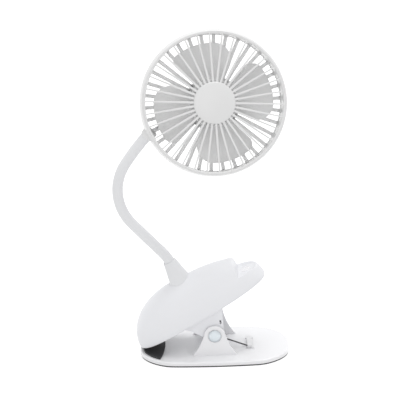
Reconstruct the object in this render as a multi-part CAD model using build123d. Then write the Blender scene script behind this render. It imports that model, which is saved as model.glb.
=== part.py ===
from build123d import *
import math
import os

# Clip fan: a round fan head on a bending neck, which rises from a spring clip with a flat foot.
# Millimetres, +Z up, origin at the middle of the foot's underside, +X towards the clip's lever.

os.makedirs("parts", exist_ok=True)

# ---------------------------------------------------------------- foot and lower jaw
PLATE_LENGTH = 153.0
PLATE_WIDTH = 90.6
PLATE_END_SAG = 4.2          # how far each end bows out
PLATE_SIDE_SAG = 4.7         # how far each long side bows out
PLATE_CORNER = 30.0
PLATE_THICK = 4.0
PLATE_EDGE = 1.4
SOLE_THICK = 1.5
SOLE_INSET = 0.7
JAW_PAD_THICK = 1.8
JAW_PAD_INSET = 2.6
JAW_PAD_EDGE_X = -51.0       # where the pad's inner edge crosses the middle
JAW_PAD_EDGE_R = 137.0

EAR_OUTER_Y = 28.0
EAR_THICK = 3.0
EAR_FOOT_HALF = 22.2
EAR_TOP_R = 10.6
PIVOT_HEIGHT = 26.6          # above the ground
PIN_R = 3.0
PIN_HEAD_R = 6.3
PIN_HEAD_THICK = 2.0
RUN_FIT = 0.05               # radial play of a shaft in its hole

# ---------------------------------------------------------------- torsion spring
WIRE_D = 1.4
COIL_R = 5.6                 # to the wire's middle
COIL_TURNS = 4
COIL_PITCH = 2.07
COIL_OUTER_Y = 19.5          # the coil sits on the near half of the pin
ARM_REACH = 15.2             # from the pivot to the hooked end
ARM_ANGLE = 66.0             # of the hooked end, above +X
HOOK_LENGTH = 4.0
ARM_SLOT_LONG = 5.0
ARM_SLOT_PLAY = 0.3
SPRING_BEND = 2.0
SEAT_BAR = 15.0              # the leg's end, bent to lie under the seat's bridge
SEAT_BAR_PLAY = 0.1          # from the bent end down to the plate
SEAT_X = 35.8
SEAT_WIDE = 4.8
SEAT_HALF_Y = 11.5
SEAT_THICK = 0.8
SEAT_ROOM = 2.3              # under the bridge
SEAT_SLOT_LONG = 8.5
SEAT_SLOT = 2.0

# ---------------------------------------------------------------- clip body (upper jaw)
BODY_TILT = 30.0
LIP_X = -76.0
LIP_GAP = 0.5                # from the lip down to the pad
BODY_LENGTH = 149.4
BODY_HALF_WIDTH = 30.7
BODY_WIDEST = 63.4           # along the body, from the lip
BODY_HEIGHT = 39.4           # of the dome, above the seam
BODY_HIGHEST = 56.3
NOSE_POWER = 1.9
TAIL_POWER = 2.5
PLAN_NOSE_POWER = 3.0
PLAN_TAIL_POWER = 2.4
SHELL_WALL = 2.2
COVER_THICK = 2.0
COVER_INSET = 0.5
BODY_EAR_THICK = 3.2
BODY_EAR_PLAY = 0.4          # between the body's ears and the foot's
BODY_EAR_R = 9.6
BODY_EAR_FORE = 27.0         # from the pin, along the body, to the front of the ear's web
BODY_EAR_AFT = 22.0
BODY_EAR_HEEL = 200.0        # angle round the pin where the web leaves the ear's round
WEB_KNEE = (-18.0, 0.9)      # from the pin: the web's lower corner
WEB_CREST = (-26.5, 4.9)     # from the pin: the middle of its shallow arch
STEP_TOP_BACK = 21.7         # the step down to the lever, ahead of the tip
STEP_FOOT_BACK = 24.75
LEVER_RISE = 14.5            # of the lever's rim above the seam
DISH_DEPTH = 1.6
DISH_INSET = 2.6
UPPER_PAD_THICK = 1.2
UPPER_PAD_REACH = 27.0
UPPER_PAD_INSET = 2.6

SOCKET_X = -33.6
SOCKET_Z = 77.1
SOCKET_LEAN = 26.2           # left of upright
SOCKET_HIGH = 23.8           # from that point to the mouth
SOCKET_SUNK = 6.0
SOCKET_FOOT_R = 11.45
SOCKET_MOUTH_R = 6.8
SOCKET_FLANGE_R = 14.0
SOCKET_FLANGE_THICK = 2.0
SOCKET_NUT_R = 10.0
SOCKET_PLAY = 0.05

CELL_D = 18.4
CELL_LENGTH = 65.0
CELL_START = 35.0
CELL_GAP = 0.4
CRADLE_WALL = 1.6
BOARD_GAP = 5.0              # from the cells' tray to the board
BOARD_BACK = 12.4            # from the board's end to the tip
BOARD_HALF_WIDTH = 11.0
BOARD_THICK = 1.6
BOARD_LIFT = 2.4             # above the cover
SWITCH_SIDE = 6.0
SWITCH_HIGH = 1.9
PORT_WIDTH = 9.0
PORT_HIGH = 3.3
PORT_IN = 5.0                # from the board's start to the middle of the port
PORT_ROOM = 0.3
BUTTON_BACK = 16.0           # from the button's middle to the tip
BUTTON_R = 5.5
BUTTON_PROUD = 0.5
BUTTON_TRAVEL = 0.6
BUTTON_PLAY = 0.2
BOSS_R = 3.2
FORE_SCREW_S = 20.0
FORE_SCREW_Y = 13.0
AFT_SCREW_Y = 18.5
SCREW_R = 1.3
SCREW_HEAD_R = 2.6

# ---------------------------------------------------------------- neck
NECK_R = 5.5
NECK_BORE_R = 2.4
CABLE_R = 1.5
BALL_GAP = 0.3               # between a link's ball and the cup below it
HINGES = 8
FIRST_HINGE = 1.9            # along the neck from the socket's mouth
LAST_HINGE_BACK = 11.0       # before the neck reaches the ring
NECK_LOWER_R = 38.4
NECK_LOWER_TURN = 16.7
NECK_STRAIGHT = 43.0
NECK_BEND_R = 50.8
NECK_BEND_TURN = 76.4
NECK_UPPER_R = 233.0
NECK_UPPER_TURN = 9.15

# ---------------------------------------------------------------- fan head
RING_R = 73.2
RING_WALL = 3.5
RING_DEPTH = 32.0
RING_BULGE = 3.0
LEDGE_DEPTH = 6.0            # from each face down to the ledge that a grille rests on
LEDGE_SHELF = 1.4            # how far the ledge reaches in past the band
HEAD_TILT = 15.0
HEAD_YAW = 4.0
ENTRY_ANGLE = 203.6          # where the neck meets the ring, seen from the front
BOSS_OUT = 3.0
BOSS_IN = 11.0
BOSS_END = 2.0               # thickness of the sleeve's end, with the wire way through it
BOSS_SLEEVE_R = 7.6
COLLAR_PLAY = 0.2            # room for the collar, which still bends a little in its sleeve
GRILLE_RIM = 1.8
GRILLE_PLAY = 0.2
GRILLE_THICK = 2.6
GRILLE_RIM_THICK = 5.7
RIBS = 34
FRONT_RIB_ROOT = 2.3         # width at the cap
FRONT_RIB_END = 1.5          # width at the rim
REAR_RIB = 3.8
RIB_START_ANGLE = -3.5
CAP_R = 20.6
CAP_RISE = 3.0
CAP_EDGE = 1.0               # the cap's height at its edge
REAR_PLATE_R = 27.5
REAR_CAP_R = 24.0
REAR_CAP_THICK = 4.0

BLADES = 4
BLADE_TIP_R = 60.0
BLADE_SPREAD = 70.0
BLADE_START = 64.0
BLADE_THICK = 1.6
BLADE_DEPTH = 13.0
BLADE_LEAD_CORNER = 14.0
BLADE_TRAIL_CORNER = 8.0
HUB_R = 23.7
HUB_FRONT = 8.0
HUB_REAR = -7.0
HUB_WALL = 2.0
CAN_R = 18.5
CAN_WALL = 1.0
MAGNET_THICK = 2.0
STATOR_R = 14.9
STATOR_BOTTOM = -7.0
STATOR_TOP = -1.0
TEETH = 9
TUBE_R = 5.0
BEARING_R = 4.0
BEARING_HIGH = 3.0
SHAFT_R = 1.5
FLANGE_R = 17.0
FLANGE_THICK = 1.2
MOTOR_BOARD_THICK = 1.2
LEAD_R = 1.0
LEAD_ROOM = 0.3              # round the lead where it leaves the ring's sleeve
BLADE_ROOM = 1.5             # from the blades' tips out to the sleeve

# ---------------------------------------------------------------- places worked out from these
PLATE_TOP = SOLE_THICK + PLATE_THICK
PIVOT = Vector(0, 0, PIVOT_HEIGHT)
LIP_Z = PLATE_TOP + JAW_PAD_THICK + LIP_GAP
TILT = math.radians(BODY_TILT)
BODY = Plane(
    origin=(LIP_X, 0, LIP_Z),
    x_dir=(math.cos(TILT), 0, math.sin(TILT)),
    z_dir=(-math.sin(TILT), 0, math.cos(TILT)),
)
SEAM = COVER_THICK
LEVER_RIM = SEAM + LEVER_RISE
PIVOT_S = BODY.to_local_coords(PIVOT).X
BODY_EAR_OUTER = EAR_OUTER_Y - EAR_THICK - BODY_EAR_PLAY
BODY_EAR_INNER = BODY_EAR_OUTER - BODY_EAR_THICK
STEP_TOP = BODY_LENGTH - STEP_TOP_BACK
STEP_FOOT = BODY_LENGTH - STEP_FOOT_BACK
CRADLE_END = CELL_START + CELL_LENGTH + CELL_GAP + CRADLE_WALL
AFT_SCREW_S = CRADLE_END + BOSS_R + 0.4
BOARD_START = CRADLE_END + BOARD_GAP
BOARD_END = BODY_LENGTH - BOARD_BACK
PORT_S = BOARD_START + PORT_IN
BUTTON_S = BODY_LENGTH - BUTTON_BACK


def write(node, shape):
    shape.label = node
    export_step(shape, f"parts/{node}.step")


def disc(radius, low, high, plane=Plane.XY):
    """A cylinder along a plane's normal, from one height to another."""
    return extrude(plane.offset(low) * Circle(radius), high - low)


def slab(outline, low, high, plane=Plane.XY):
    return extrude(plane.offset(low) * outline, high - low)


def across(outline, low, high):
    """An outline drawn in X and Z, made solid from one Y to another."""
    return extrude(Plane.XZ.offset(-high) * outline, high - low)


def box_between(low, high):
    size = [high[i] - low[i] for i in range(3)]
    middle = [(high[i] + low[i]) / 2 for i in range(3)]
    return Pos(*middle) * Box(*size)


def both_sides(half):
    return half + mirror(half, about=Plane.XZ)


# ================================================================ foot
def plate_outline(inset=0.0):
    """The oval foot: four shallow arcs with round corners."""
    end = PLATE_LENGTH / 2
    side = PLATE_WIDTH / 2
    corner_x = end - PLATE_END_SAG
    corner_y = side - PLATE_SIDE_SAG
    edges = [
        ThreePointArc((-corner_x, -corner_y), (0, -side), (corner_x, -corner_y)),
        ThreePointArc((corner_x, -corner_y), (end, 0), (corner_x, corner_y)),
        ThreePointArc((corner_x, corner_y), (0, side), (-corner_x, corner_y)),
        ThreePointArc((-corner_x, corner_y), (-end, 0), (-corner_x, -corner_y)),
    ]
    outline = make_face(edges)
    outline = fillet(outline.vertices(), PLATE_CORNER)
    return offset(outline, -inset) if inset else outline


def ear_outline():
    """One ear of the foot, in X and Z: round at the pin, with straight sides down to the plate."""
    foot = PLATE_TOP - 1.0
    drop = PIVOT_HEIGHT - PLATE_TOP
    facing = math.atan2(-drop, EAR_FOOT_HALF)
    turn = facing + math.acos(EAR_TOP_R / math.hypot(EAR_FOOT_HALF, drop))
    side_x = EAR_TOP_R * math.cos(turn)
    side_z = PIVOT_HEIGHT + EAR_TOP_R * math.sin(turn)
    edges = [
        Line((-EAR_FOOT_HALF, foot), (EAR_FOOT_HALF, foot)),
        Line((EAR_FOOT_HALF, foot), (EAR_FOOT_HALF, PLATE_TOP)),
        Line((EAR_FOOT_HALF, PLATE_TOP), (side_x, side_z)),
        ThreePointArc((side_x, side_z), (0, PIVOT_HEIGHT + EAR_TOP_R), (-side_x, side_z)),
        Line((-side_x, side_z), (-EAR_FOOT_HALF, PLATE_TOP)),
        Line((-EAR_FOOT_HALF, PLATE_TOP), (-EAR_FOOT_HALF, foot)),
    ]
    return make_face(edges)


def pin_hole(radius):
    outline = Pos(0, PIVOT_HEIGHT) * Circle(radius)
    return across(outline, -PLATE_WIDTH, PLATE_WIDTH)


def seat_slots():
    """The two slots that the spring seat's folded ends drop into."""
    low = PLATE_TOP - PLATE_THICK / 2
    half = box_between(
        (SEAT_X - SEAT_SLOT_LONG / 2, SEAT_HALF_Y, low),
        (SEAT_X + SEAT_SLOT_LONG / 2, SEAT_HALF_Y + SEAT_SLOT, PLATE_TOP + 1),
    )
    return both_sides(half)


def base_plate():
    plate = slab(plate_outline(), SOLE_THICK, PLATE_TOP)
    plate = fillet(plate.faces().sort_by(Axis.Z)[-1].edges(), PLATE_EDGE)
    ear = across(ear_outline(), EAR_OUTER_Y - EAR_THICK, EAR_OUTER_Y)
    return plate + both_sides(ear) - pin_hole(PIN_R + RUN_FIT) - seat_slots()


def rubber_sole():
    return slab(plate_outline(SOLE_INSET), 0, SOLE_THICK)


def lower_jaw_pad():
    """The black pad that the upper jaw closes on, parallel to the foot's rounded end."""
    limit = Pos(JAW_PAD_EDGE_X - JAW_PAD_EDGE_R, 0) * Circle(JAW_PAD_EDGE_R)
    pad = slab(plate_outline(JAW_PAD_INSET) & limit, PLATE_TOP, PLATE_TOP + JAW_PAD_THICK)
    return chamfer(pad.faces().sort_by(Axis.Z)[-1].edges(), JAW_PAD_THICK / 4)


def spring_seat():
    """A flat bridge over the spring's bent end, with its ends folded down into the plate's slots."""
    left = SEAT_X - SEAT_WIDE / 2
    right = SEAT_X + SEAT_WIDE / 2
    under = PLATE_TOP + SEAT_ROOM
    end_y = SEAT_HALF_Y + SEAT_THICK
    strip = box_between((left, -end_y, under), (right, end_y, under + SEAT_THICK))
    fold = box_between((left, SEAT_HALF_Y, PLATE_TOP - PLATE_THICK / 2), (right, end_y, under))
    return strip + both_sides(fold)


def pivot_pin():
    """One turned pin through all four ears, with its round head on the near side."""
    near = -EAR_OUTER_Y - PIN_HEAD_THICK
    far = EAR_OUTER_Y + PIN_HEAD_THICK / 2
    shank = across(Pos(0, PIVOT_HEIGHT) * Circle(PIN_R), -EAR_OUTER_Y, far)
    head = across(Pos(0, PIVOT_HEIGHT) * Circle(PIN_HEAD_R), near, -EAR_OUTER_Y)
    head = fillet(head.faces().sort_by(Axis.Y)[0].edges(), PIN_HEAD_THICK * 0.4)
    return shank + head


def pin_cap():
    far = EAR_OUTER_Y + PIN_HEAD_THICK
    cap = across(Pos(0, PIVOT_HEIGHT) * Circle(PIN_HEAD_R), EAR_OUTER_Y, far)
    cap = fillet(cap.faces().sort_by(Axis.Y)[-1].edges(), PIN_HEAD_THICK * 0.4)
    bore = Pos(0, PIVOT_HEIGHT) * Circle(PIN_R)
    return cap - across(bore, EAR_OUTER_Y, EAR_OUTER_Y + PIN_HEAD_THICK / 2)


# ================================================================ torsion spring
def biarc(start, start_dir, end, end_dir):
    """Two tangent arcs from one point and direction to another."""
    span = end - start
    both = start_dir + end_dir
    slack = 2 * (1 - start_dir.dot(end_dir))
    reach = span.dot(both)
    length = (-reach + math.sqrt(reach * reach + slack * span.dot(span))) / slack
    first_knee = start + start_dir * length
    last_knee = end - end_dir * length
    middle = (first_knee + last_knee) * 0.5
    return [
        TangentArc(start, middle, tangent=start_dir),
        TangentArc(middle, end, tangent=last_knee - first_knee),
    ]


def coil_point(angle, y):
    a = math.radians(angle)
    return Vector(COIL_R * math.cos(a), y, PIVOT_HEIGHT + COIL_R * math.sin(a))


def coil_direction(angle, rise_per_degree):
    a = math.radians(angle)
    per_degree = COIL_R * math.pi / 180
    return Vector(
        -per_degree * math.sin(a), rise_per_degree, per_degree * math.cos(a)
    ).normalized()


def coil(start_angle, end_angle, start_y, end_y):
    """A coil round the pin, in biarcs of about a quarter turn each."""
    quarters = round((end_angle - start_angle) / 90)
    rise = (end_y - start_y) / (end_angle - start_angle)
    edges = []
    for q in range(quarters):
        a0 = start_angle + (end_angle - start_angle) * q / quarters
        a1 = start_angle + (end_angle - start_angle) * (q + 1) / quarters
        p0 = coil_point(a0, start_y + rise * (a0 - start_angle))
        p1 = coil_point(a1, start_y + rise * (a1 - start_angle))
        edges += biarc(p0, coil_direction(a0, rise), p1, coil_direction(a1, rise))
    return edges


def tangent_angles(point_x, point_z):
    """The two places on the coil whose tangent passes through a point."""
    dx = point_x
    dz = point_z - PIVOT_HEIGHT
    facing = math.degrees(math.atan2(dz, dx))
    half = math.degrees(math.acos(COIL_R / math.hypot(dx, dz)))
    return facing - half, facing + half


def spring_path():
    """One wire: a hooked arm, the coil, a straight leg, and an end bent under the seat."""
    arm_x = ARM_REACH * math.cos(math.radians(ARM_ANGLE))
    arm_z = PIVOT_HEIGHT + ARM_REACH * math.sin(math.radians(ARM_ANGLE))
    bar_x = SEAT_X - SEAT_WIDE / 2 + WIRE_D * 0.7
    bar_z = PLATE_TOP + SEAT_BAR_PLAY + WIRE_D / 2
    start_angle = tangent_angles(arm_x, arm_z)[1]
    end_angle = tangent_angles(bar_x, bar_z)[0] + 360 * (COIL_TURNS + 1)
    length = (end_angle - start_angle) / 360 * COIL_PITCH
    outer = -COIL_OUTER_Y
    inner = outer + length
    rise = length / (end_angle - start_angle)

    # The straight arms lean along the coil's own slope, so that the wire has no kink.
    start_dir = coil_direction(start_angle, rise)
    arm_run = math.hypot(arm_x, arm_z - PIVOT_HEIGHT)
    arm_run = math.sqrt(arm_run**2 - COIL_R**2)
    flat = math.hypot(start_dir.X, start_dir.Z)
    arm_top = coil_point(start_angle, outer) - start_dir * (arm_run / flat)
    hook_end = arm_top - Vector(0, HOOK_LENGTH, 0)
    end_dir = coil_direction(end_angle, rise)
    leg_run = math.sqrt(bar_x**2 + (bar_z - PIVOT_HEIGHT) ** 2 - COIL_R**2)
    flat = math.hypot(end_dir.X, end_dir.Z)
    bar_corner = coil_point(end_angle, inner) + end_dir * (leg_run / flat)

    turns = coil(start_angle, end_angle, outer, inner)
    arm = FilletPolyline(hook_end, arm_top, turns[0] @ 0, radius=SPRING_BEND)
    bar_end = bar_corner + Vector(0, SEAT_BAR, 0)
    leg = FilletPolyline(turns[-1] @ 1, bar_corner, bar_end, radius=SPRING_BEND)
    return Wire(list(arm.edges()) + turns + list(leg.edges())), arm_top


def spring_gap(wire):
    """The least gap of the wire to its own next turn, measured on points."""
    steps = 400
    points = [wire.position_at(i / steps) for i in range(steps + 1)]
    apart = math.pi * WIRE_D / (wire.length / steps)
    least = wire.length
    for i, p in enumerate(points):
        for j in range(i + int(apart) + 1, steps + 1):
            least = min(least, (points[j] - p).length)
    return least - WIRE_D


def torsion_spring(wire):
    section = Plane(origin=wire @ 0, z_dir=wire % 0) * Circle(WIRE_D / 2)
    return sweep(section, path=wire)


# ================================================================ clip body
def swell(s, middle, nose_power, tail_power):
    """How full the body is along its length: 0 at the lip and the tip, 1 at the middle."""
    if s < middle:
        u = (middle - s) / middle
        power = nose_power
    else:
        u = (s - middle) / (BODY_LENGTH - middle)
        power = tail_power
    return max(1 - u**power, 0.0) ** (1 / power)


def half_width(s):
    return BODY_HALF_WIDTH * swell(s, BODY_WIDEST, PLAN_NOSE_POWER, PLAN_TAIL_POWER)


def dome_height(s):
    return BODY_HEIGHT * swell(s, BODY_HIGHEST, NOSE_POWER, TAIL_POWER)


def dome(inset):
    """The mouse-shaped dome above the seam, or the hollow a wall's thickness inside it."""
    stations = 11
    sections = []
    for i in range(stations + 1):
        turn = math.pi * (0.03 + 0.94 * i / stations)
        s = BODY_LENGTH * (1 - math.cos(turn)) / 2
        squeeze = (BODY_LENGTH - 2 * inset) / BODY_LENGTH
        wide = half_width(s) - inset * swell(s, BODY_WIDEST, 4, 4)
        high = dome_height(s) - inset * swell(s, BODY_HIGHEST, 4, 4)
        place = Plane(origin=(inset + s * squeeze, 0, SEAM), x_dir=(0, 1, 0), z_dir=(1, 0, 0))
        arch = EllipticalCenterArc((0, 0), wide, high, arc_size=180)
        sections.append(place * make_face([arch, Line(arch @ 1, arch @ 0)]))
    return loft(sections)


def plan_outline(inset=0.0):
    """The body's outline in the plane of its seam, as one closed curve."""
    steps = 13
    squeeze = (BODY_LENGTH - 2 * inset) / BODY_LENGTH
    far = []
    for i in range(1, steps):
        s = BODY_LENGTH * (1 - math.cos(math.pi * i / steps)) / 2
        far.append((inset + s * squeeze, half_width(s) - inset * swell(s, BODY_WIDEST, 4, 4)))
    near = [(s, -y) for s, y in reversed(far)]
    outline = [(inset, 0)] + far + [(BODY_LENGTH - inset, 0)] + near
    return make_face(Spline(outline, periodic=True))


def above_lever(lower=0.0, set_back=0.0):
    """All that is cut away above the lever and behind the step, along the body and up."""
    foot_s = STEP_FOOT - set_back
    top_s = STEP_TOP - set_back
    rim = LEVER_RIM - lower
    far_s = BODY_LENGTH + 20
    high = SEAM + BODY_HEIGHT + 10
    slope = (STEP_TOP - STEP_FOOT) / (BODY_HEIGHT - LEVER_RISE)
    lean_s = top_s + slope * (high - SEAM - BODY_HEIGHT)
    edges = [
        Line((foot_s, rim), (lean_s, high)),
        Line((lean_s, high), (far_s, high)),
        Line((far_s, high), (far_s, rim - 12)),
        ThreePointArc((far_s, rim - 12), (BODY_LENGTH - 9, rim - 1.6), (foot_s, rim)),
    ]
    return across(make_face(edges), -BODY_HALF_WIDTH - 5, BODY_HALF_WIDTH + 5)


def lever_dish():
    """The shallow thumb dish in the lever, inside its rim."""
    long_half = (BODY_LENGTH - STEP_FOOT) / 2 - DISH_INSET
    wide_half = half_width(STEP_FOOT) * 0.5
    middle = (STEP_FOOT + BODY_LENGTH) / 2 - DISH_INSET
    return Pos(middle, 0, LEVER_RIM) * scale(
        Sphere(1), by=(long_half, wide_half, DISH_DEPTH * 1.6)
    )


SOCKET_DIR = Vector(
    -math.sin(math.radians(SOCKET_LEAN)), 0, math.cos(math.radians(SOCKET_LEAN))
)
SOCKET = Plane(
    origin=(SOCKET_X, 0, SOCKET_Z),
    x_dir=(SOCKET_DIR.Z, 0, -SOCKET_DIR.X),
    z_dir=SOCKET_DIR,
)
SOCKET_MOUTH = Vector(SOCKET_X, 0, SOCKET_Z) + SOCKET_DIR * SOCKET_HIGH


def socket_cone(play=0.0):
    """The tapered neck socket, thick end down, in its own upright frame."""
    length = SOCKET_HIGH + SOCKET_SUNK
    cone = Cone(SOCKET_FOOT_R + play, SOCKET_MOUTH_R + play, length)
    return Pos(0, 0, SOCKET_HIGH - length / 2) * cone


def neck_socket():
    flange = disc(SOCKET_FLANGE_R, -SOCKET_SUNK - SOCKET_FLANGE_THICK, -SOCKET_SUNK)
    stem = disc(NECK_R, -SOCKET_SUNK - SOCKET_FLANGE_THICK - 4, -SOCKET_SUNK)
    bore = disc(NECK_BORE_R, -SOCKET_SUNK - 10, SOCKET_HIGH + 1)
    cup = Pos(0, 0, SOCKET_HIGH + FIRST_HINGE) * Sphere(NECK_R + BALL_GAP)
    return SOCKET * (socket_cone() + flange + stem - bore - cup)


def socket_nut():
    """The nut under the socket's flange that the neck is drawn down with."""
    top = -SOCKET_SUNK - SOCKET_FLANGE_THICK
    nut = extrude(Plane.XY.offset(top - 3) * RegularPolygon(SOCKET_NUT_R, 6), 3)
    return SOCKET * (nut - disc(NECK_R, top - 4, top + 1))


SCREW_PLACES = [
    (FORE_SCREW_S, FORE_SCREW_Y),
    (FORE_SCREW_S, -FORE_SCREW_Y),
    (AFT_SCREW_S, AFT_SCREW_Y),
    (AFT_SCREW_S, -AFT_SCREW_Y),
]


def upper_shell():
    outer = dome(0) - above_lever() - lever_dish()
    hollow = dome(SHELL_WALL) - above_lever(DISH_DEPTH * 1.6 + SHELL_WALL, SHELL_WALL)
    hollow = hollow & disc(BODY_LENGTH * 2, SEAM, SEAM + BODY_HEIGHT)
    shell = outer - hollow
    for s, y in SCREW_PLACES:
        boss = Pos(s, y, 0) * disc(BOSS_R, SEAM, SEAM + BODY_HEIGHT)
        shell = shell + (boss & dome(SHELL_WALL / 2))
        shell = shell - Pos(s, y, 0) * disc(SCREW_R, SEAM - 1, SEAM + 8)
    shell = shell - Pos(BUTTON_S, 0, 0) * disc(BUTTON_R + BUTTON_PLAY, SEAM + 4, LEVER_RIM + 4)
    port = box_between(
        (PORT_S - PORT_WIDTH / 2 - PORT_ROOM, BOARD_HALF_WIDTH + 1, port_low() - PORT_ROOM),
        (PORT_S + PORT_WIDTH / 2 + PORT_ROOM, BODY_HALF_WIDTH * 1.3, port_low() + PORT_HIGH + PORT_ROOM),
    )
    shell = (BODY * (shell - port)) - SOCKET * socket_cone(SOCKET_PLAY)
    return shell.solids().sort_by(SortBy.VOLUME)[-1]


def board_low():
    return SEAM + BOARD_LIFT


def port_low():
    return board_low() + BOARD_THICK


def body_ear_outline():
    """One ear of the clip body in X and Z: round the pin, with a web running forward from it."""
    top_right = BODY.from_local_coords(Vector(PIVOT_S + BODY_EAR_AFT, 0, SEAM / 2))
    top_left = BODY.from_local_coords(Vector(PIVOT_S - BODY_EAR_FORE, 0, SEAM / 2))
    flank = (BODY_EAR_R, PIVOT_HEIGHT + 4)
    turn = math.radians(BODY_EAR_HEEL)
    heel = (BODY_EAR_R * math.cos(turn), PIVOT_HEIGHT + BODY_EAR_R * math.sin(turn))
    knee = (WEB_KNEE[0], PIVOT_HEIGHT + WEB_KNEE[1])
    crest = (WEB_CREST[0], PIVOT_HEIGHT + WEB_CREST[1])
    edges = [
        Line((top_left.X, top_left.Z), (top_right.X, top_right.Z)),
        Line((top_right.X, top_right.Z), flank),
        Line(flank, (BODY_EAR_R, PIVOT_HEIGHT)),
        ThreePointArc(
            (BODY_EAR_R, PIVOT_HEIGHT), (0, PIVOT_HEIGHT - BODY_EAR_R), heel
        ),
        Line(heel, knee),
        ThreePointArc(knee, crest, (top_left.X, top_left.Z)),
    ]
    return make_face(edges)


def arm_slot(arm_top):
    """The slot in the near ear that the spring's arm hooks into."""
    slot = Rot(0, 0, 90) * SlotOverall(ARM_SLOT_LONG, WIRE_D + 2 * ARM_SLOT_PLAY)
    return across(Pos(arm_top.X, arm_top.Z) * slot, -EAR_OUTER_Y, 0)


def lower_cover(arm_top):
    """The floor of the clip body, with the two ears that the pin passes through."""
    floor = BODY * slab(plan_outline(COVER_INSET), 0, COVER_THICK)
    ear = across(body_ear_outline(), BODY_EAR_INNER, BODY_EAR_OUTER)
    cover = floor + both_sides(ear) - pin_hole(PIN_R + RUN_FIT) - arm_slot(arm_top)
    for s, y in SCREW_PLACES:
        hole = Pos(s, y, 0) * disc(SCREW_R + 0.2, -1, COVER_THICK + 1)
        sink = Pos(s, y, 0) * disc(SCREW_HEAD_R + 0.2, -1, COVER_THICK / 2)
        cover = cover - BODY * (hole + sink)
    for s in (BOARD_START + 4, BOARD_END - 4):
        for y in (-BOARD_HALF_WIDTH + 3, BOARD_HALF_WIDTH - 3):
            post = Pos(s, y, 0) * disc(1.8, COVER_THICK / 2, board_low())
            cover = cover + BODY * post
    return cover


def cover_screws():
    """Four small screws, up through the cover into the shell's bosses."""
    screws = []
    for s, y in SCREW_PLACES:
        head = disc(SCREW_HEAD_R, 0.1, COVER_THICK / 2)
        shank = disc(SCREW_R, COVER_THICK / 2, SEAM + 7)
        screws.append(BODY * (Pos(s, y, 0) * (head + shank)))
    return Compound(screws)


def upper_jaw_pad():
    """The soft strip under the jaw's lip."""
    reach = box_between(
        (0, -BODY_HALF_WIDTH, -UPPER_PAD_THICK), (UPPER_PAD_REACH, BODY_HALF_WIDTH, 0)
    )
    return BODY * (slab(plan_outline(UPPER_PAD_INSET), -UPPER_PAD_THICK, 0) & reach)


def battery_cells():
    """Two round lithium cells side by side, with their raised end buttons."""
    cells = []
    for side in (-1, 1):
        y = side * (CELL_D + CELL_GAP) / 2
        t = SEAM + CRADLE_WALL + CELL_D / 2
        axis = Plane(origin=(CELL_START, y, t), z_dir=(1, 0, 0))
        can = disc(CELL_D / 2, 0, CELL_LENGTH - 1.0, axis)
        can = can + disc(CELL_D / 6, CELL_LENGTH - 1.0, CELL_LENGTH, axis)
        cells.append(BODY * can)
    return Compound(cells)


def battery_cradle():
    """The tray that holds the cells on the cover, with a stop wall at each end."""
    wide = CELL_D + CELL_GAP / 2 + CRADLE_WALL
    low = SEAM
    high = SEAM + CRADLE_WALL + CELL_D * 0.45
    start = CELL_START - CELL_GAP - CRADLE_WALL
    tray = box_between((start, -wide, low), (CRADLE_END, wide, high))
    for side in (-1, 1):
        y = side * (CELL_D + CELL_GAP) / 2
        t = SEAM + CRADLE_WALL + CELL_D / 2
        axis = Plane(origin=(0, y, t), z_dir=(1, 0, 0))
        bed = disc(CELL_D / 2 + 0.1, CELL_START - CELL_GAP, CELL_START + CELL_LENGTH + CELL_GAP, axis)
        tray = tray - bed
    return BODY * tray


def control_board():
    board = box_between(
        (BOARD_START, -BOARD_HALF_WIDTH, board_low()),
        (BOARD_END, BOARD_HALF_WIDTH, board_low() + BOARD_THICK),
    )
    return BODY * board


def port_outer_y():
    """How far out the port's mouth stands: just under the shell's own surface."""
    return half_width(PORT_S) * 0.93


def charge_port():
    """The metal charging socket on the board, facing the far side."""
    wide = PORT_WIDTH / 2
    low = port_low()
    inner_y = BOARD_HALF_WIDTH - 7
    body = box_between((PORT_S - wide, inner_y, low), (PORT_S + wide, port_outer_y(), low + PORT_HIGH))
    edges = body.edges().filter_by(Axis.Y)
    body = fillet(edges, PORT_HIGH * 0.35)
    mouth = box_between(
        (PORT_S - wide + 0.5, inner_y + 2, low + 0.5),
        (PORT_S + wide - 0.5, port_outer_y() + 1, low + PORT_HIGH - 0.5),
    )
    return BODY * (body - mouth)


def switch_top():
    return board_low() + BOARD_THICK + SWITCH_HIGH


def tact_switch():
    half = SWITCH_SIDE / 2
    low = board_low() + BOARD_THICK
    body = box_between(
        (BUTTON_S - half, -half, low), (BUTTON_S + half, half, low + SWITCH_HIGH - 0.5)
    )
    plunger = Pos(BUTTON_S, 0, 0) * disc(half / 2, low, switch_top())
    return BODY * (body + plunger)


def button_top():
    return LEVER_RIM - DISH_DEPTH + BUTTON_PROUD


def power_button():
    """The round power button in the thumb dish, with a stem down to the switch."""
    cap = disc(BUTTON_R, button_top() - 3, button_top())
    cap = fillet(cap.faces().sort_by(Axis.Z)[-1].edges(), 0.8)
    stem = disc(1.5, switch_top() + BUTTON_TRAVEL + 0.1, button_top() - 3)
    return BODY * (Pos(BUTTON_S, 0, 0) * (cap + stem))


# ================================================================ neck
def neck_path():
    """The neck's middle line in the plane Y = 0: a gentle bend, a straight, then the big bow."""
    start = SOCKET_MOUTH
    up = Vector(SOCKET_DIR.X, SOCKET_DIR.Z, 0)
    a = JernArc((start.X, start.Z), up, NECK_LOWER_R, NECK_LOWER_TURN)
    b = Line(a @ 1, (a @ 1) + (a % 1) * NECK_STRAIGHT)
    c = JernArc(b @ 1, b % 1, NECK_BEND_R, -NECK_BEND_TURN)
    d = JernArc(c @ 1, c % 1, NECK_UPPER_R, -NECK_UPPER_TURN)
    flat = Wire([a, b, c, d])
    return Plane(origin=(0, 0, 0), x_dir=(1, 0, 0), z_dir=(0, -1, 0)) * flat


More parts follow.
